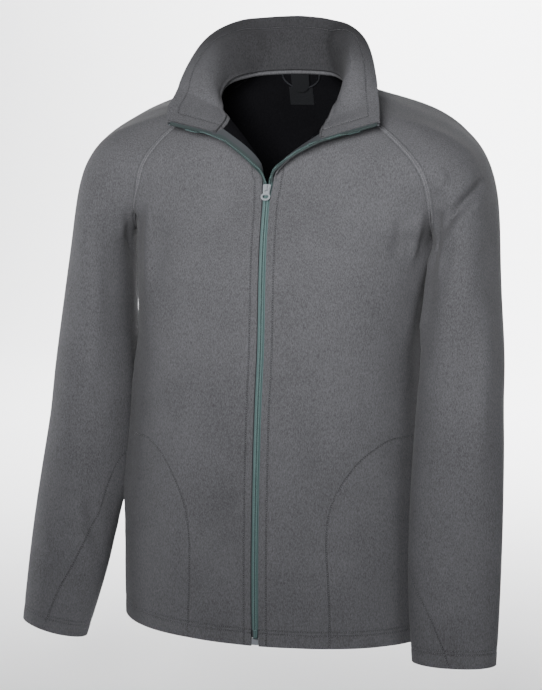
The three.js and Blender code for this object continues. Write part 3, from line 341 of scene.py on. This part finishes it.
for name, piece in walls.items():
    points = piece["points"]
    others = [n for n in bodyWalls if n != name]
    if name in bodyWalls:
        others += ["collar_outer"]
    reach = wall["collarReach"] if name in collarWalls else wall["sewnReach"]
    kinds = {"sewn": [], "hem": [], "edge": []}
    for a, b in piece["rims"]:
        centre = (points[a] + points[b]) / 2
        gap = min(rimTrees[other].find(centre)[2] for other in others)
        run = points[b] - points[a]
        level = abs(run[2]) < 0.7 * np.linalg.norm(run)
        if gap < reach:
            kinds["sewn"].append((a, b))
        elif name in bodyWalls and not name.startswith("front"):
            kinds["hem"].append((a, b))
        elif name.startswith("front") and level and centre[2] < wall["hemFrom"]:
            kinds["hem"].append((a, b))
        else:
            kinds["edge"].append((a, b))
    piece["kinds"] = kinds
    piece["ways"] = {}
    for kind, edges in kinds.items():
        way = np.full(len(points), 99.0)
        if edges:
            tree = treeOf([points[i] for key in edges for i in key])
            for i, point in enumerate(points):
                way[i] = min(99.0, tree.find(point)[2])
        piece["ways"][kind] = way
print("seam distances measured")


# Stitched curves of the pockets and the turned sleeve seams, as points on the cloth in mm
curves = {
    "front_right": [(-199, -74, -468), (-182, -86, -466), (-163, -102, -466), (-138, -121, -482),
                    (-117, -131, -512), (-103, -137, -544), (-97, -139, -578), (-95, -139, -615),
                    (-96, -140, -654), (-98, -139, -700), (-99, -138, -727)],
    "front_left": [(199, -50, -454), (184, -58, -453), (166, -88, -453), (148, -106, -463), (127, -121, -482),
                   (107, -133, -513), (96, -138, -541), (92, -139, -568), (92, -139, -602), (94, -138, -639),
                   (96, -138, -677), (96, -138, -724)],
    "sleeve_right": [(-214, 6, -225), (-214, 0, -330), (-214, -8, -420), (-216, -24, -477),
                     (-223, -54, -508), (-233, -67, -541), (-245, -74, -583), (-262, -79, -615),
                     (-281, -82, -654), (-305, -83, -697), (-320, -83, -733)],
    "sleeve_left": [(216, 8, -225), (214, 0, -330), (210, -20, -430), (204, -60, -520), (197, -104, -596),
                    (202, -122, -628), (218, -134, -657), (234, -139, -685), (245, -141, -710),
                    (252, -141, -729)],
}


def smoothLine(points, step):
    # A Catmull-Rom line through the points, at even steps.
    points = [np.array(p, float) for p in points]
    points = [2 * points[0] - points[1]] + points + [2 * points[-1] - points[-2]]
    dense = []
    for a, b, c, d in zip(points, points[1:], points[2:], points[3:]):
        for k in range(16):
            t = k / 16
            dense.append(0.5 * (2 * b + (c - a) * t + (2 * a - 5 * b + 4 * c - d) * t * t
                                + (3 * b - a - 3 * c + d) * t ** 3))
    dense.append(points[-2])
    return evenLine(np.array(dense), step)


def evenLine(line, step):
    lengths = np.concatenate([[0], np.cumsum(np.linalg.norm(np.diff(line, axis=0), axis=1))])
    count = max(2, int(round(lengths[-1] / step)) + 1)
    marks = np.linspace(0, lengths[-1], count)
    return np.stack([np.interp(marks, lengths, line[:, k]) for k in range(3)], axis=1)


for name, piece in walls.items():
    way = np.full(len(piece["points"]), 199.0)
    if name in curves:
        line = smoothLine(curves[name], 3.0)
        runs = np.gradient(line, axis=0)
        tree = treeOf(line)
        for i, point in enumerate(piece["points"]):
            near, index, distance = tree.find(point)
            away = point - line[index]
            along = runs[index] / np.linalg.norm(runs[index])
            across = away - along * away.dot(along)
            side = np.cross(along, across).dot(piece["outward"][i])
            way[i] = math.copysign(max(np.linalg.norm(across), distance - 8), side)
    piece["ways"]["curve"] = way
# Distance towards the facing's back, where its colour is darkened: painted shade in the neck.
walls["collar_facing"]["ways"]["back"] = np.maximum(0.0, 60 - walls["collar_facing"]["points"][:, 1])
print("curved seams laid")


# Folds: (points in mm, depth in mm, half width in mm); a trough has a negative depth
folds = [
    # Wearer's left armpit and sleeve
    ([(276, -16, -112), (266, -55, -129), (250, -71, -147), (232, -73, -166), (214, -58, -190)], -6.0, 6),
    ([(268, -38, -103), (256, -62, -117), (242, -74, -134), (226, -73, -152)], 3.4, 8),
    ([(279, -40, -138), (264, -68, -152), (246, -78, -170), (230, -72, -192)], 3.8, 7),
    ([(222, -73, -150), (216, -62, -168), (213, -52, -186), (213, -48, -201), (214, -55, -224)], -5.5, 6),
    ([(226, -70, -195), (225, -74, -215), (222, -78, -245)], 2.6, 8),
    ([(228, -71, -100), (222, -74, -117), (216, -72, -134)], 3.4, 8),
    ([(204, -22, -190), (206, -15, -205), (208, -30, -222), (208, -36, -240)], 5.0, 13),
    ([(288, -73, -267), (289, -95, -328), (287, -109, -390), (285, -121, -452), (282, -129, -515)], 3.6, 16),
    ([(262, -85, -250), (262, -104, -320), (262, -120, -390), (262, -130, -450)], -3.4, 16),
    ([(205, -30, -205), (206, -40, -242), (205, -50, -275), (203, -57, -300), (200, -66, -345)], 6.5, 18),
    ([(238, -120, -560), (250, -130, -610), (262, -132, -660)], -2.6, 12),
    ([(262, -128, -540), (276, -128, -600), (283, -122, -650)], 2.4, 14),
    # Wearer's left front
    ([(198, -71, -150), (193, -64, -178), (188, -58, -201), (183, -63, -228)], 3.6, 8),
    ([(176, -78, -150), (172, -78, -185), (168, -80, -225)], -2.6, 10),
    ([(197, 16, -212), (193, 15, -250), (190, 14, -290), (187, 12, -345)], 3.6, 18),
    ([(199, 8, -192), (198, 14, -206), (196, 15, -226), (194, 13, -245)], 3.6, 13),
    ([(25, -150, -395), (48, -150, -453), (66, -147, -512), (83, -141, -579)], 3.0, 20),
    ([(60, -148, -400), (84, -142, -455), (96, -136, -500)], -2.2, 16),
    ([(40, -150, -600), (60, -148, -650), (66, -147, -700)], 2.0, 16),
    # Wearer's right armpit and sleeve
    ([(-176, -76, -130), (-190, -63, -158), (-200, -50, -180)], 3.4, 7),
    ([(-198, -62, -150), (-203, -50, -182), (-209, -22, -217), (-210, -16, -240)], -4.2, 8),
    ([(-216, 12, -330), (-214, 0, -385), (-216, -10, -440), (-220, -22, -495), (-226, -30, -550),
      (-230, -33, -600)], 8.0, 18),
    ([(-275, -60, -500), (-262, -78, -560), (-251, -76, -611), (-247, -68, -649)], -3.4, 9),
    ([(-266, -84, -545), (-268, -84, -600), (-262, -80, -640)], 2.2, 9),
    ([(-322, -58, -560), (-318, -70, -610), (-316, -76, -660)], 2.6, 12),
    ([(-237, -76, -204), (-241, -84, -285), (-246, -88, -366), (-258, -89, -449)], 2.6, 14),
    ([(-262, -70, -180), (-270, -78, -260), (-280, -80, -350)], -2.2, 16),
    # Wearer's right front
    ([(-167, -78, -149), (-170, -78, -196), (-168, -88, -241), (-169, -91, -281)], 3.0, 11),
    ([(-140, -95, -160), (-146, -98, -210), (-148, -104, -270)], -2.4, 14),
    ([(-197, -41, -320), (-200, -41, -390), (-207, -41, -470), (-214, -42, -540), (-219, -42, -610)], 4.6, 16),
    ([(-24, -149, -505), (-47, -147, -539), (-67, -144, -565), (-88, -141, -596)], -3.4, 12),
    ([(-40, -149, -580), (-64, -146, -618), (-88, -142, -658)], -3.2, 11),
    ([(-28, -150, -548), (-55, -148, -590), (-80, -144, -630)], 2.8, 10),
    ([(-130, -120, -540), (-122, -124, -600), (-124, -124, -660)], 2.4, 13),
    ([(-60, -146, -640), (-76, -144, -690)], 2.0, 11),
    # Back and hidden sides, alike but not the same
    ([(236, 66, -120), (216, 76, -165), (196, 80, -215)], -4.6, 10),
    ([(-232, 68, -125), (-214, 78, -170), (-190, 84, -225)], -4.2, 10),
    ([(222, 60, -200), (214, 62, -260), (208, 60, -320)], 3.0, 14),
    ([(150, 105, -170), (140, 112, -260), (146, 112, -350), (138, 110, -430)], 3.4, 18),
    ([(-142, 107, -180), (-150, 112, -280), (-138, 112, -380)], 3.6, 17),
    ([(40, 118, -330), (52, 118, -450), (46, 116, -560), (58, 114, -690)], 3.2, 22),
    ([(-70, 118, -360), (-58, 118, -480), (-72, 116, -600), (-64, 114, -700)], -3.2, 20),
    ([(120, 110, -560), (90, 114, -610), (60, 116, -640)], -2.8, 13),
    ([(285, 30, -300), (288, 25, -380), (292, 10, -470)], 3.4, 16),
    ([(-295, 35, -310), (-305, 25, -400), (-318, 5, -500)], 3.2, 16),
    ([(265, -10, -560), (280, -35, -610), (285, -50, -640)], -3.0, 12),
]


def foldHeight(points):
    total = np.zeros(len(points))
    for stroke, depth, halfWidth in folds:
        line = smoothLine(stroke, 5.0)
        low = line.min(0) - 3 * halfWidth
        high = line.max(0) + 3 * halfWidth
        near = np.nonzero(((points > low) & (points < high)).all(1))[0]
        if len(near) == 0:
            continue
        gaps = np.linalg.norm(points[near][:, None, :] - line[None], axis=2)
        best = gaps.argmin(1)
        along = best / (len(line) - 1)
        taper = np.clip(np.minimum(along, 1 - along) / 0.3, 0, 1)
        taper = 0.15 + 0.85 * taper * taper * (3 - 2 * taper)
        ends = (best == 0) | (best == len(line) - 1)
        taper = np.where(ends, 0.15, taper)
        total[near] += wall["foldShare"] * depth * taper * np.exp(-(gaps.min(1) / halfWidth) ** 2)
    return total


def rippleHeight(points):
    # Long soft waves that run mostly down the cloth.
    x, y, z = points.T
    waves = np.sin(x / 23 + 0.8 * np.sin(z / 70) + 1.3) + np.sin(y / 19 - z / 110 + 0.4)
    waves += 0.8 * np.sin(z / 41 + x / 60 + 2.1) + 0.7 * np.sin(x / 11.5 + y / 14 + z / 90)
    return waves * wall["ripple"] / 2


def smoothStep(value, low, high):
    t = np.clip((value - low) / (high - low), 0, 1)
    return t * t * (3 - 2 * t)


seams = {
    "raglanOff": 2.8, "hemOff": 20.0, "hemApart": 5.0, "cuffOff": 21.0, "frontOff": 10.0, "collarOff": 15.0,
    "sink": 0.45, "sinkHalf": 2.2, "ridge": 0.55, "close": 0.16,
}
for name, piece in walls.items():
    points, outward, ways = piece["points"], piece["outward"], piece["ways"]
    kinds = np.zeros((len(points), 3), bool)
    for polygon in piece["mesh"].polygons:
        for i in polygon.vertices:
            kinds[i, polygon.material_index] = True
    outerOnly = kinds[:, 0] & ~kinds[:, 2]
    lift = foldHeight(points) + rippleHeight(points)
    if name in collarWalls:
        lift *= 0.3
    # The zip, the collar's rims and the sewn ends stay where the solids are.
    lift *= smoothStep(ways["edge"], *wall["still"])
    groove = np.zeros(len(points))
    hemOff = seams["cuffOff"] if name.startswith("sleeve") else seams["hemOff"]
    edgeOff = seams["collarOff"] if name in collarWalls else seams["frontOff"]
    lines = [ways["sewn"] - seams["raglanOff"] - 1.6, ways["hem"] - hemOff + seams["hemApart"] / 2,
             ways["hem"] - hemOff - seams["hemApart"] / 2, ways["edge"] - edgeOff, ways["curve"]]
    for line in lines:
        groove -= seams["sink"] * np.exp(-(line / seams["sinkHalf"]) ** 2)
    # The lapped seam stands a little proud between its two rows of stitches.
    flank = smoothStep(ways["sewn"], seams["raglanOff"] - 0.6, seams["raglanOff"] + 1.2)
    groove += seams["ridge"] * (1 - flank)
    lift += groove * kinds[:, 0]
    moved = points + outward * lift[:, None]
    closing = np.nonzero((ways["sewn"] < 0.3) & kinds[:, 0])[0]
    clothTree = treeOf(points[outerOnly])
    for i in closing:
        near = clothTree.find_range(points[i], 6.0)
        if near:
            away = points[i] - np.mean([n[0] for n in near], axis=0)
            moved[i] += away / max(np.linalg.norm(away), 0.01) * seams["close"]
    piece["moved"] = moved
    mesh = piece["mesh"]
    mesh.vertices.foreach_set("co", (moved * mm).ravel())
    for kind, way in ways.items():
        field = mesh.attributes.new(kind + "Way", "FLOAT", "POINT")
        field.data.foreach_set("value", way.astype(np.float32))
    mesh.update()
print("folds and grooves pressed")


# Fleece: brushed polyester knit with a short even nap, which scatters the light softly.
fleeceLook = {
    "light": "58585B", "dark": "3B3B3D",      # outside
    # The inside colours are set near black: painted shade of the jacket's dark inside.
    "insideLight": "141416", "insideDark": "0C0C0E",
    "nap": 1.1, "roughness": 0.95,            # mm, coarser than real so that it shows
}


def fleeceMaterial(name, colours, marks, gloss):
    # marks: for each distance field, lines at (offset mm, half width mm, how dark the middle is); they
    # multiply the colour, painted shade where darker and painted highlight where above 1
    material, tree, shader = startMaterial(name, {
        "Roughness": fleeceLook["roughness"], "IOR": 1.45, "Specular IOR Level": gloss,
        "Sheen Weight": gloss, "Sheen Roughness": 0.5,
    })
    place = addNode(tree, "ShaderNodeTexCoord").outputs["Object"]
    nap = addNode(tree, "ShaderNodeTexNoise", None,
                  {"Scale": 1 / (fleeceLook["nap"] * mm), "Detail": 2.0, "Roughness": 0.6},
                  {"Vector": place}).outputs["Fac"]
    # Knit columns run down the cloth, about 1 mm apart.
    columns = addNode(tree, "ShaderNodeMapping", inputs={"Scale": (900, 900, 300)}, links={"Vector": place})
    knit = addNode(tree, "ShaderNodeTexNoise", inputs={"Scale": 1.0, "Detail": 1.0},
                   links={"Vector": columns.outputs["Vector"]}).outputs["Fac"]
    brushed = addNode(tree, "ShaderNodeTexNoise", inputs={"Scale": 14.0, "Detail": 3.0},
                      links={"Vector": place}).outputs["Fac"]
    fine = addNode(tree, "ShaderNodeMath", {"operation": "MULTIPLY_ADD"}, {1: 0.8},
                   {0: nap, 2: knit}).outputs["Value"]
    tone = addNode(tree, "ShaderNodeMath", {"operation": "MULTIPLY_ADD"}, {1: 0.35},
                   {0: brushed, 2: fine}).outputs["Value"]
    share = addNode(tree, "ShaderNodeMapRange", inputs={"From Min": 0.72, "From Max": 1.43},
                    links={"Value": tone})
    colour = addNode(tree, "ShaderNodeMix", {"data_type": "RGBA"}, links={0: share.outputs["Result"]})
    colour.inputs[6].default_value = toLinear(colours[1])
    colour.inputs[7].default_value = toLinear(colours[0])
    shade = None
    for field, lines in marks.items():
        way = addNode(tree, "ShaderNodeAttribute", {"attribute_name": field}).outputs["Fac"]
        for offset, half, depth in lines:
            gap = addNode(tree, "ShaderNodeMath", {"operation": "SUBTRACT"}, {1: offset}, {0: way})
            size = addNode(tree, "ShaderNodeMath", {"operation": "ABSOLUTE"}, links={0: gap.outputs["Value"]})
            line = addNode(tree, "ShaderNodeMapRange", {"interpolation_type": "SMOOTHSTEP"},
                           {"From Min": 0.0, "From Max": half, "To Min": depth, "To Max": 1.0},
                           {"Value": size.outputs["Value"]}).outputs["Result"]
            if shade is None:
                shade = line
            else:
                shade = addNode(tree, "ShaderNodeMath", {"operation": "MULTIPLY"},
                                links={0: shade, 1: line}).outputs["Value"]
    dimmed = addNode(tree, "ShaderNodeMix", {"data_type": "RGBA", "blend_type": "MULTIPLY"}, {0: 1.0},
                     {6: colour.outputs[2]})
    relief = addNode(tree, "ShaderNodeMath", {"operation": "MULTIPLY"}, {1: 0.3}, {0: fine})
    if shade is None:
        dimmed.inputs[7].default_value = (1, 1, 1, 1)
    else:
        tree.links.new(shade, dimmed.inputs[7])
        relief = addNode(tree, "ShaderNodeMath", {"operation": "ADD"},
                         links={0: relief.outputs["Value"], 1: shade})
    tree.links.new(dimmed.outputs[2], shader.inputs["Base Color"])
    bump = addNode(tree, "ShaderNodeBump", inputs={"Strength": 0.75, "Distance": 1.0 * mm},
                   links={"Height": relief.outputs["Value"]})
    tree.links.new(bump.outputs["Normal"], shader.inputs["Normal"])
    return material


outsideColours = (fleeceLook["light"], fleeceLook["dark"])
insideColours = (fleeceLook["insideLight"], fleeceLook["insideDark"])
hemRows, cuffRows = ((off - seams["hemApart"] / 2, off + seams["hemApart"] / 2)
                     for off in (seams["hemOff"], seams["cuffOff"]))
# Darker lines along the stitch rows, seam rims, front edges and pocket curves: painted shade in the grooves.
hemMarks = [(row, 1.5, 0.6) for row in hemRows]
cuffMarks = [(row, 1.5, 0.6) for row in cuffRows]
# Between the two darker seam lines, a middle above 1 is a painted highlight on the raised lapped seam.
sewnMarks = [(0.0, 0.8, 0.8), (seams["raglanOff"], 1.1, 1.25), (seams["raglanOff"] + 1.8, 1.2, 0.82)]
fleeceKinds = {
    "body": {"sewnWay": sewnMarks, "hemWay": hemMarks, "edgeWay": [(seams["frontOff"], 1.5, 0.5)],
             "curveWay": [(0.0, 1.8, 0.5)]},
    "sleeve": {"sewnWay": sewnMarks, "hemWay": cuffMarks, "curveWay": [(0.0, 1.8, 0.5)]},
    "collar": {"sewnWay": [(0.0, 1.6, 0.45)], "edgeWay": [(seams["collarOff"], 1.5, 0.55)]},
}
fleeceMaterials = {}
for kind, marks in fleeceKinds.items():
    fleeceMaterials[kind] = fleeceMaterial("brushed_polyester_fleece_" + kind, outsideColours, marks, 0.05)
# The inside of the same knit, set near black to match the shade in the photo's open neck.
fleeceMaterials["inside"] = fleeceMaterial("polyester_fleece_inside_painted_shade", insideColours, {}, 0.0)
# The facing is the same knit, its back darkened to match the shade in the photo.
facingMarks = {**fleeceKinds["collar"], "backWay": [(0.0, 105.0, 0.42)]}
fleeceMaterials["facing"] = fleeceMaterial("brushed_polyester_fleece_facing", outsideColours, facingMarks,
                                           0.02)
for name, piece in walls.items():
    mesh = piece["mesh"]
    kind = "sleeve" if name.startswith("sleeve") else "collar" if name in collarWalls else "body"
    kind = "facing" if name == "collar_facing" else kind
    back = fleeceMaterials[kind] if name in collarWalls else fleeceMaterials["inside"]
    for material in (fleeceMaterials[kind], back, fleeceMaterials[kind]):
        mesh.materials.append(material)
    # Rims at the neck seam lie inside, under the facing, and take the near-black inside colour: painted shade.
    for polygon in mesh.polygons:
        if name in bodyWalls and polygon.material_index == 2 and polygon.center.z > wall["neckFrom"] * mm:
            polygon.material_index = 1
    cloth = linkObject(name + "_fleece", mesh)
    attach(cloth, "jacket")
    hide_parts(name)
print("fleece pieces placed")


# Lines that lie on the cloth at a set distance from a seam, hem or edge
def levelLines(piece, field, value):
    mesh, marks = piece["mesh"], field - value
    corners = np.array([p.vertices[:] for p in mesh.polygons
                        if p.material_index == 0 and len(p.vertices) == 4])
    above = marks[corners] > 0
    near = (np.abs(marks[corners]) < thread["reach"]).all(1)
    mixed = corners[above.any(1) & ~above.all(1) & near]
    joined = {}
    for ids in mixed:
        keys = [tuple(sorted((int(ids[k]), int(ids[(k + 1) % 4])))) for k in range(4)]
        cut = [key for key in keys if (marks[key[0]] > 0) != (marks[key[1]] > 0)]
        if len(cut) == 2:
            joined.setdefault(cut[0], []).append(cut[1])
            joined.setdefault(cut[1], []).append(cut[0])
    unused = set(joined)
    lines = []
    starts = [key for key in sorted(joined) if len(joined[key]) == 1] + sorted(joined)
    for start in starts:
        if start not in unused:
            continue
        chain = [start]
        unused.discard(start)
        while True:
            onward = [key for key in joined[chain[-1]] if key in unused]
            if not onward:
                break
            unused.discard(onward[0])
            chain.append(onward[0])
        if len(chain) > 6:
            a, b = np.array(chain).T
            share = (marks[a] / (marks[a] - marks[b]))[:, None]
            spots = piece["moved"][a] * (1 - share) + piece["moved"][b] * share
            facing = piece["outward"][a] * (1 - share) + piece["outward"][b] * share
            lines.append((spots, facing))
    return lines


thread = {
    "pitch": 3.0, "long": 2.3, "wide": 0.42, "high": 0.22, "segments": 6, "rings": 4,
    "reach": 12,             # mm: a face farther from its line than this is left out
    "shortest": 10,          # mm: a shorter line gets no stitches
    "leastRun": 1.2,         # mm: nor does a shorter stitch
    "raised": 0.05, "raglanFoot": -165,
}
stitchTool = bpy.data.meshes.new("stitch_tool")
bm = bmesh.new()
bmesh.ops.create_uvsphere(bm, u_segments=thread["segments"], v_segments=thread["rings"], radius=0.5)
bmesh.ops.rotate(bm, verts=bm.verts, cent=(0, 0, 0), matrix=Matrix.Rotation(math.radians(90), 3, "Y"))
bm.to_mesh(stitchTool)
bm.free()


def placeTool(bm, tool, middle, along, up, size):
    across = up.cross(along).normalized()
    up = along.cross(across)
    place = Matrix((along * size[0], across * size[1], up * size[2])).transposed().to_4x4()
    place.translation = middle
    copy = tool.copy()
    copy.transform(place)
    bm.from_mesh(copy)
    bpy.data.meshes.remove(copy)


def stitchLines(bm, lines, keep=None):
    for spots, facing in lines:
        lengths = np.concatenate([[0], np.cumsum(np.linalg.norm(np.diff(spots, axis=0), axis=1))])
        if lengths[-1] < thread["shortest"]:
            continue
        for k in range(int(lengths[-1] / thread["pitch"])):
            ends = [k * thread["pitch"], k * thread["pitch"] + thread["long"]]
            pair = [Vector([np.interp(e, lengths, spots[:, c]) for c in range(3)]) for e in ends]
            up = Vector([np.interp(ends[0], lengths, facing[:, c]) for c in range(3)]).normalized()
            middle = (pair[0] + pair[1]) / 2
            run = pair[1] - pair[0]
            if run.length < thread["leastRun"] or (keep and not keep(middle)):
                continue
            placeTool(bm, stitchTool, (middle + up * thread["raised"]) * mm, run.normalized(), up,
                      (run.length * mm, thread["wide"] * mm, thread["high"] * 2 * mm))


def seamAbove(point):
    return point.z > thread["raglanFoot"]


# Spun polyester sewing thread in the cloth's grey, a little glossier than the nap.
threadMaterial = tintedMaterial("spun_polyester_thread", {"Roughness": 0.55, "IOR": 1.5, "Sheen Weight": 0.2},
                                900.0, 1.0, ("4A4B4F", "636468"))[0]

stitchPlans = {
    "seam_stitches": [(n, "sewn", (seams["raglanOff"],), seamAbove) for n in bodyWalls],
    "hem_stitches": [(n, "hem", hemRows, None) for n in bodyWalls[:3]],
    "cuff_stitches": [(n, "hem", cuffRows, None) for n in bodyWalls[3:]],
    "front_stitches": [(n, "edge", (seams["frontOff"],), None) for n in bodyWalls[:2]],
    "collar_stitches": [(n, "edge", (seams["collarOff"],), None) for n in collarWalls],
    "curve_stitches": [(n, "curve", (0.0,), None) for n in curves],
}
for groupName, plans in stitchPlans.items():
    bm = bmesh.new()
    for name, kind, offsets, keep in plans:
        for offset in offsets:
            stitchLines(bm, levelLines(walls[name], walls[name]["ways"][kind], offset), keep)
    mesh = bpy.data.meshes.new(groupName)
    bm.to_mesh(mesh)
    bm.free()
    for polygon in mesh.polygons:
        polygon.use_smooth = True
    mesh.materials.append(threadMaterial)
    stitches = linkObject(groupName, mesh)
    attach(stitches, "jacket")
    print(groupName, len(mesh.polygons))
print("seams stitched")


# Zip: reversed coil on woven tape, metal slider, box and stops
zipLook = {
    "pitch": 1.5, "toothLong": 2.6, "toothWide": 0.8, "toothHigh": 0.5,
    "fromEdge": 1.6,         # mm: from the tape's free edge to a tooth's middle
    "raised": 0.1,           # mm: how far a tooth's middle stands above the tape
    "slice": 9.0,            # mm: height of the bands in which the free edge is found
    "edgeBand": 0.9,         # mm: corners this near the edge count as on it
    "faceBand": 0.5,         # mm: and those this near the front face
    "foldReach": 9.0,        # mm: the cloth around the fold that says which way is inward
}


def clothPiece(name, levels, rimAngle):
    bm = mergedCopy(name, rimAngle)[0]
    for face in bm.faces:
        face.smooth = True
    return smoothed(name, bm, levels)


def wovenMaterial(name, colours, threadMm, roughness, bands=()):
    # bands: a distance field, where it starts and ends to turn, and the colour it turns to.
    material, tree, shader = startMaterial(name, {
        "Roughness": roughness, "IOR": 1.5, "Specular IOR Level": 0.15,
    })
    place = addNode(tree, "ShaderNodeTexCoord").outputs["Object"]
    # A wave at scale 1 repeats every 0.314 of a unit.
    yarns = [addNode(tree, "ShaderNodeTexWave", {"bands_direction": axis},
                     {"Scale": 0.314 / (threadMm * mm), "Distortion": 0.6},
                     {"Vector": place}).outputs["Fac"] for axis in ("Z", "X")]
    weave = addNode(tree, "ShaderNodeMath", {"operation": "MULTIPLY"},
                    links={0: yarns[0], 1: yarns[1]}).outputs["Value"]
    colour = addNode(tree, "ShaderNodeMix", {"data_type": "RGBA"}, links={0: weave})
    colour.inputs[6].default_value = toLinear(colours[1])
    colour.inputs[7].default_value = toLinear(colours[0])
    result = colour.outputs[2]
    for field, start, end, band in bands:
        way = addNode(tree, "ShaderNodeAttribute", {"attribute_name": field}).outputs["Fac"]
        share = addNode(tree, "ShaderNodeMapRange", inputs={"From Min": start, "From Max": end},
                        links={"Value": way})
        turned = addNode(tree, "ShaderNodeMix", {"data_type": "RGBA"},
                         links={0: share.outputs["Result"], 6: result})
        turned.inputs[7].default_value = toLinear(band)
        result = turned.outputs[2]
    tree.links.new(result, shader.inputs["Base Color"])
    bump = addNode(tree, "ShaderNodeBump", inputs={"Strength": 0.5, "Distance": 0.2 * mm},
                   links={"Height": weave})
    tree.links.new(bump.outputs["Normal"], shader.inputs["Normal"])
    return material


# Woven polyester tape and nylon coil: teal grey with fine cross ribs.
# Painted shade: the tape turns darker above the slider, in the open V, and dark grey past the fold, where it
# lies under the cloth. At its free edge it turns a darker teal.
tapeMaterial = wovenMaterial("woven_polyester_tape", ("556968", "435656"), 0.8, 0.7, [
    ("sliderWay", -4.0, 4.0, "323A3A"), ("foldWay", 0.3, -0.8, "3A3C3F"), ("freeWay", 0.9, 0.3, "2A3534")])
coilMaterial = wovenMaterial("nylon_coil", ("6A7F7E", "566B6A"), 0.6, 0.5)
sliderTop = max(v.co.z for v in nodes["zip_slider"].data.vertices) / mm


def inwardAt(point, tree):
    near = tree.find_range(point, zipLook["foldReach"])
    if not near:
        return None
    return (sum((n[0] for n in near), Vector()) / len(near) - Vector(point)).normalized()


for side in ("left", "right"):
    name = "zip_tape_" + side
    tape = clothPiece(name, 1, 40)
    tape.name = name + "_woven"
    points = pointsOf(tape)
    front, collar = walls["front_" + side], walls["collar_outer"]
    foldSpots = [front["points"][i] for key in front["kinds"]["edge"] for i in key]
    sign = 1 if side == "left" else -1
    foldSpots += [collar["points"][i] for key in collar["kinds"]["edge"] for i in key
                  if collar["points"][i][0] * sign > 0 and collar["points"][i][1] < 0]
    foldTree = treeOf(foldSpots)
    clothTree = treeOf(list(front["points"][::2]) + list(collar["points"][::2]))
    way = np.zeros(len(points))
    inwards = {}
    for i, point in enumerate(points):
        spot, index, distance = foldTree.find(point)
        if index not in inwards:
            inwards[index] = inwardAt(spot, clothTree)
        inward = inwards[index]
        way[i] = -(Vector(point) - spot).dot(inward) if inward else 0.0
    tape.materials.append(tapeMaterial)
    woven = linkObject(name + "_woven", tape)
    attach(woven, "jacket")
    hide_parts(name)
    # The coil runs up the tape's free edge, one small ridge to a tooth, turned to the front.
    facings = np.array([outwardAt(Vector(p * mm), None)[:] for p in points])
    heights = (points * facings).sum(1)
    free = []
    for z in np.arange(points[:, 2].min() + 4, points[:, 2].max() - 2, zipLook["slice"]):
        band = np.nonzero(np.abs(points[:, 2] - z) < zipLook["slice"] * 0.8)[0]
        if len(band) > 3:
            band = band[way[band] > way[band].max() - zipLook["edgeBand"]]
            face = band[heights[band] > heights[band].max() - zipLook["faceBand"]]
            free.append(np.concatenate([points[face].mean(0), facings[face].mean(0), [way[band].max()]]))
    free = np.array(free)
    nearest = np.abs(points[:, 2][:, None] - free[:, 2][None]).argmin(1)
    fields = {"foldWay": way, "freeWay": free[nearest, 6] - way, "sliderWay": points[:, 2] - sliderTop}
    for kind, values in fields.items():
        field = tape.attributes.new(kind, "FLOAT", "POINT")
        field.data.foreach_set("value", values.astype(np.float32))
    run = evenLine(free[:, :3], zipLook["pitch"])
    share = np.linspace(0, 1, len(free))
    up = np.stack([np.interp(np.linspace(0, 1, len(run)), share, free[:, 3 + k]) for k in range(3)], axis=1)
    bm = bmesh.new()
    for spot, facing, along in zip(run, up, np.gradient(run, axis=0)):
        facing, along = Vector(facing).normalized(), Vector(along).normalized()
        outwards = along.cross(facing) * (-sign)
        middle = Vector(spot) + outwards * zipLook["fromEdge"] + facing * zipLook["raised"]
        placeTool(bm, stitchTool, middle * mm, outwards.normalized(), facing,
                  (zipLook["toothLong"] * mm, zipLook["toothWide"] * mm, zipLook["toothHigh"] * 2 * mm))
    coilMesh = bpy.data.meshes.new("zip_coil_" + side)
    bm.to_mesh(coilMesh)
    bm.free()
    for polygon in coilMesh.polygons:
        polygon.use_smooth = True
    coilMesh.materials.append(coilMaterial)
    coil = linkObject("zip_coil_" + side, coilMesh)
    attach(coil, "jacket")
print("zip tapes placed")

# Zinc alloy, tumbled and plated: pale silver with soft scratches.
metal, metalTree, metalShader, metalGrain = tintedMaterial(
    "plated_zinc_alloy", {"Metallic": 1.0, "Roughness": 0.34}, 1400.0, 3.0, ("74787D", "A4A8AD"))
metalBump = addNode(metalTree, "ShaderNodeBump", inputs={"Strength": 0.3, "Distance": 0.05 * mm},
                    links={"Height": metalGrain})
metalTree.links.new(metalBump.outputs["Normal"], metalShader.inputs["Normal"])
for name in ("zip_slider", "zip_pull_tab", "zip_box", "zip_stop_left", "zip_stop_right"):
    nodes[name].data.materials.clear()
    nodes[name].data.materials.append(metal)
print("zip metal finished")


# Label, size tab, hanger loop and pocket bags
# Satin label cloth without any text: a dense dark weave with a faint gloss.
labelMaterial = wovenMaterial("woven_satin_label", ("1B1C1F", "111214"), 0.5, 0.7)
# Braided polyester cord, charcoal.
cordMaterial = wovenMaterial("braided_polyester_cord", ("2E2F33", "1C1D20"), 0.9, 0.8)
# Plain warp-knit mesh of the pocket bags.
bagMaterial = wovenMaterial("warp_knit_pocket_cloth", ("4B4C50", "3A3B3F"), 0.9, 0.9)
trims = {
    "neck_label": {"levels": 2, "material": labelMaterial, "slot": "label_cloth", "flat": (0.036, 0.028)},
    "size_tab": {"levels": 2, "material": labelMaterial, "slot": "label_cloth", "flat": (0.022, 0.026)},
    "hanger_loop": {"levels": 2, "material": cordMaterial, "slot": "cord"},
    "pocket_bag_left": {"levels": 1, "material": bagMaterial, "slot": "pocket_cloth", "flat": (0.13, 0.28)},
    "pocket_bag_right": {"levels": 1, "material": bagMaterial, "slot": "pocket_cloth", "flat": (0.13, 0.28)},
}
for name, trim in trims.items():
    mesh = clothPiece(name, trim["levels"], wall["rimAngle"])
    mesh.materials.append(trim["material"])
    made = linkObject(name + "_cloth", mesh)
    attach(made, "jacket")
    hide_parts(name)
print("trims placed")
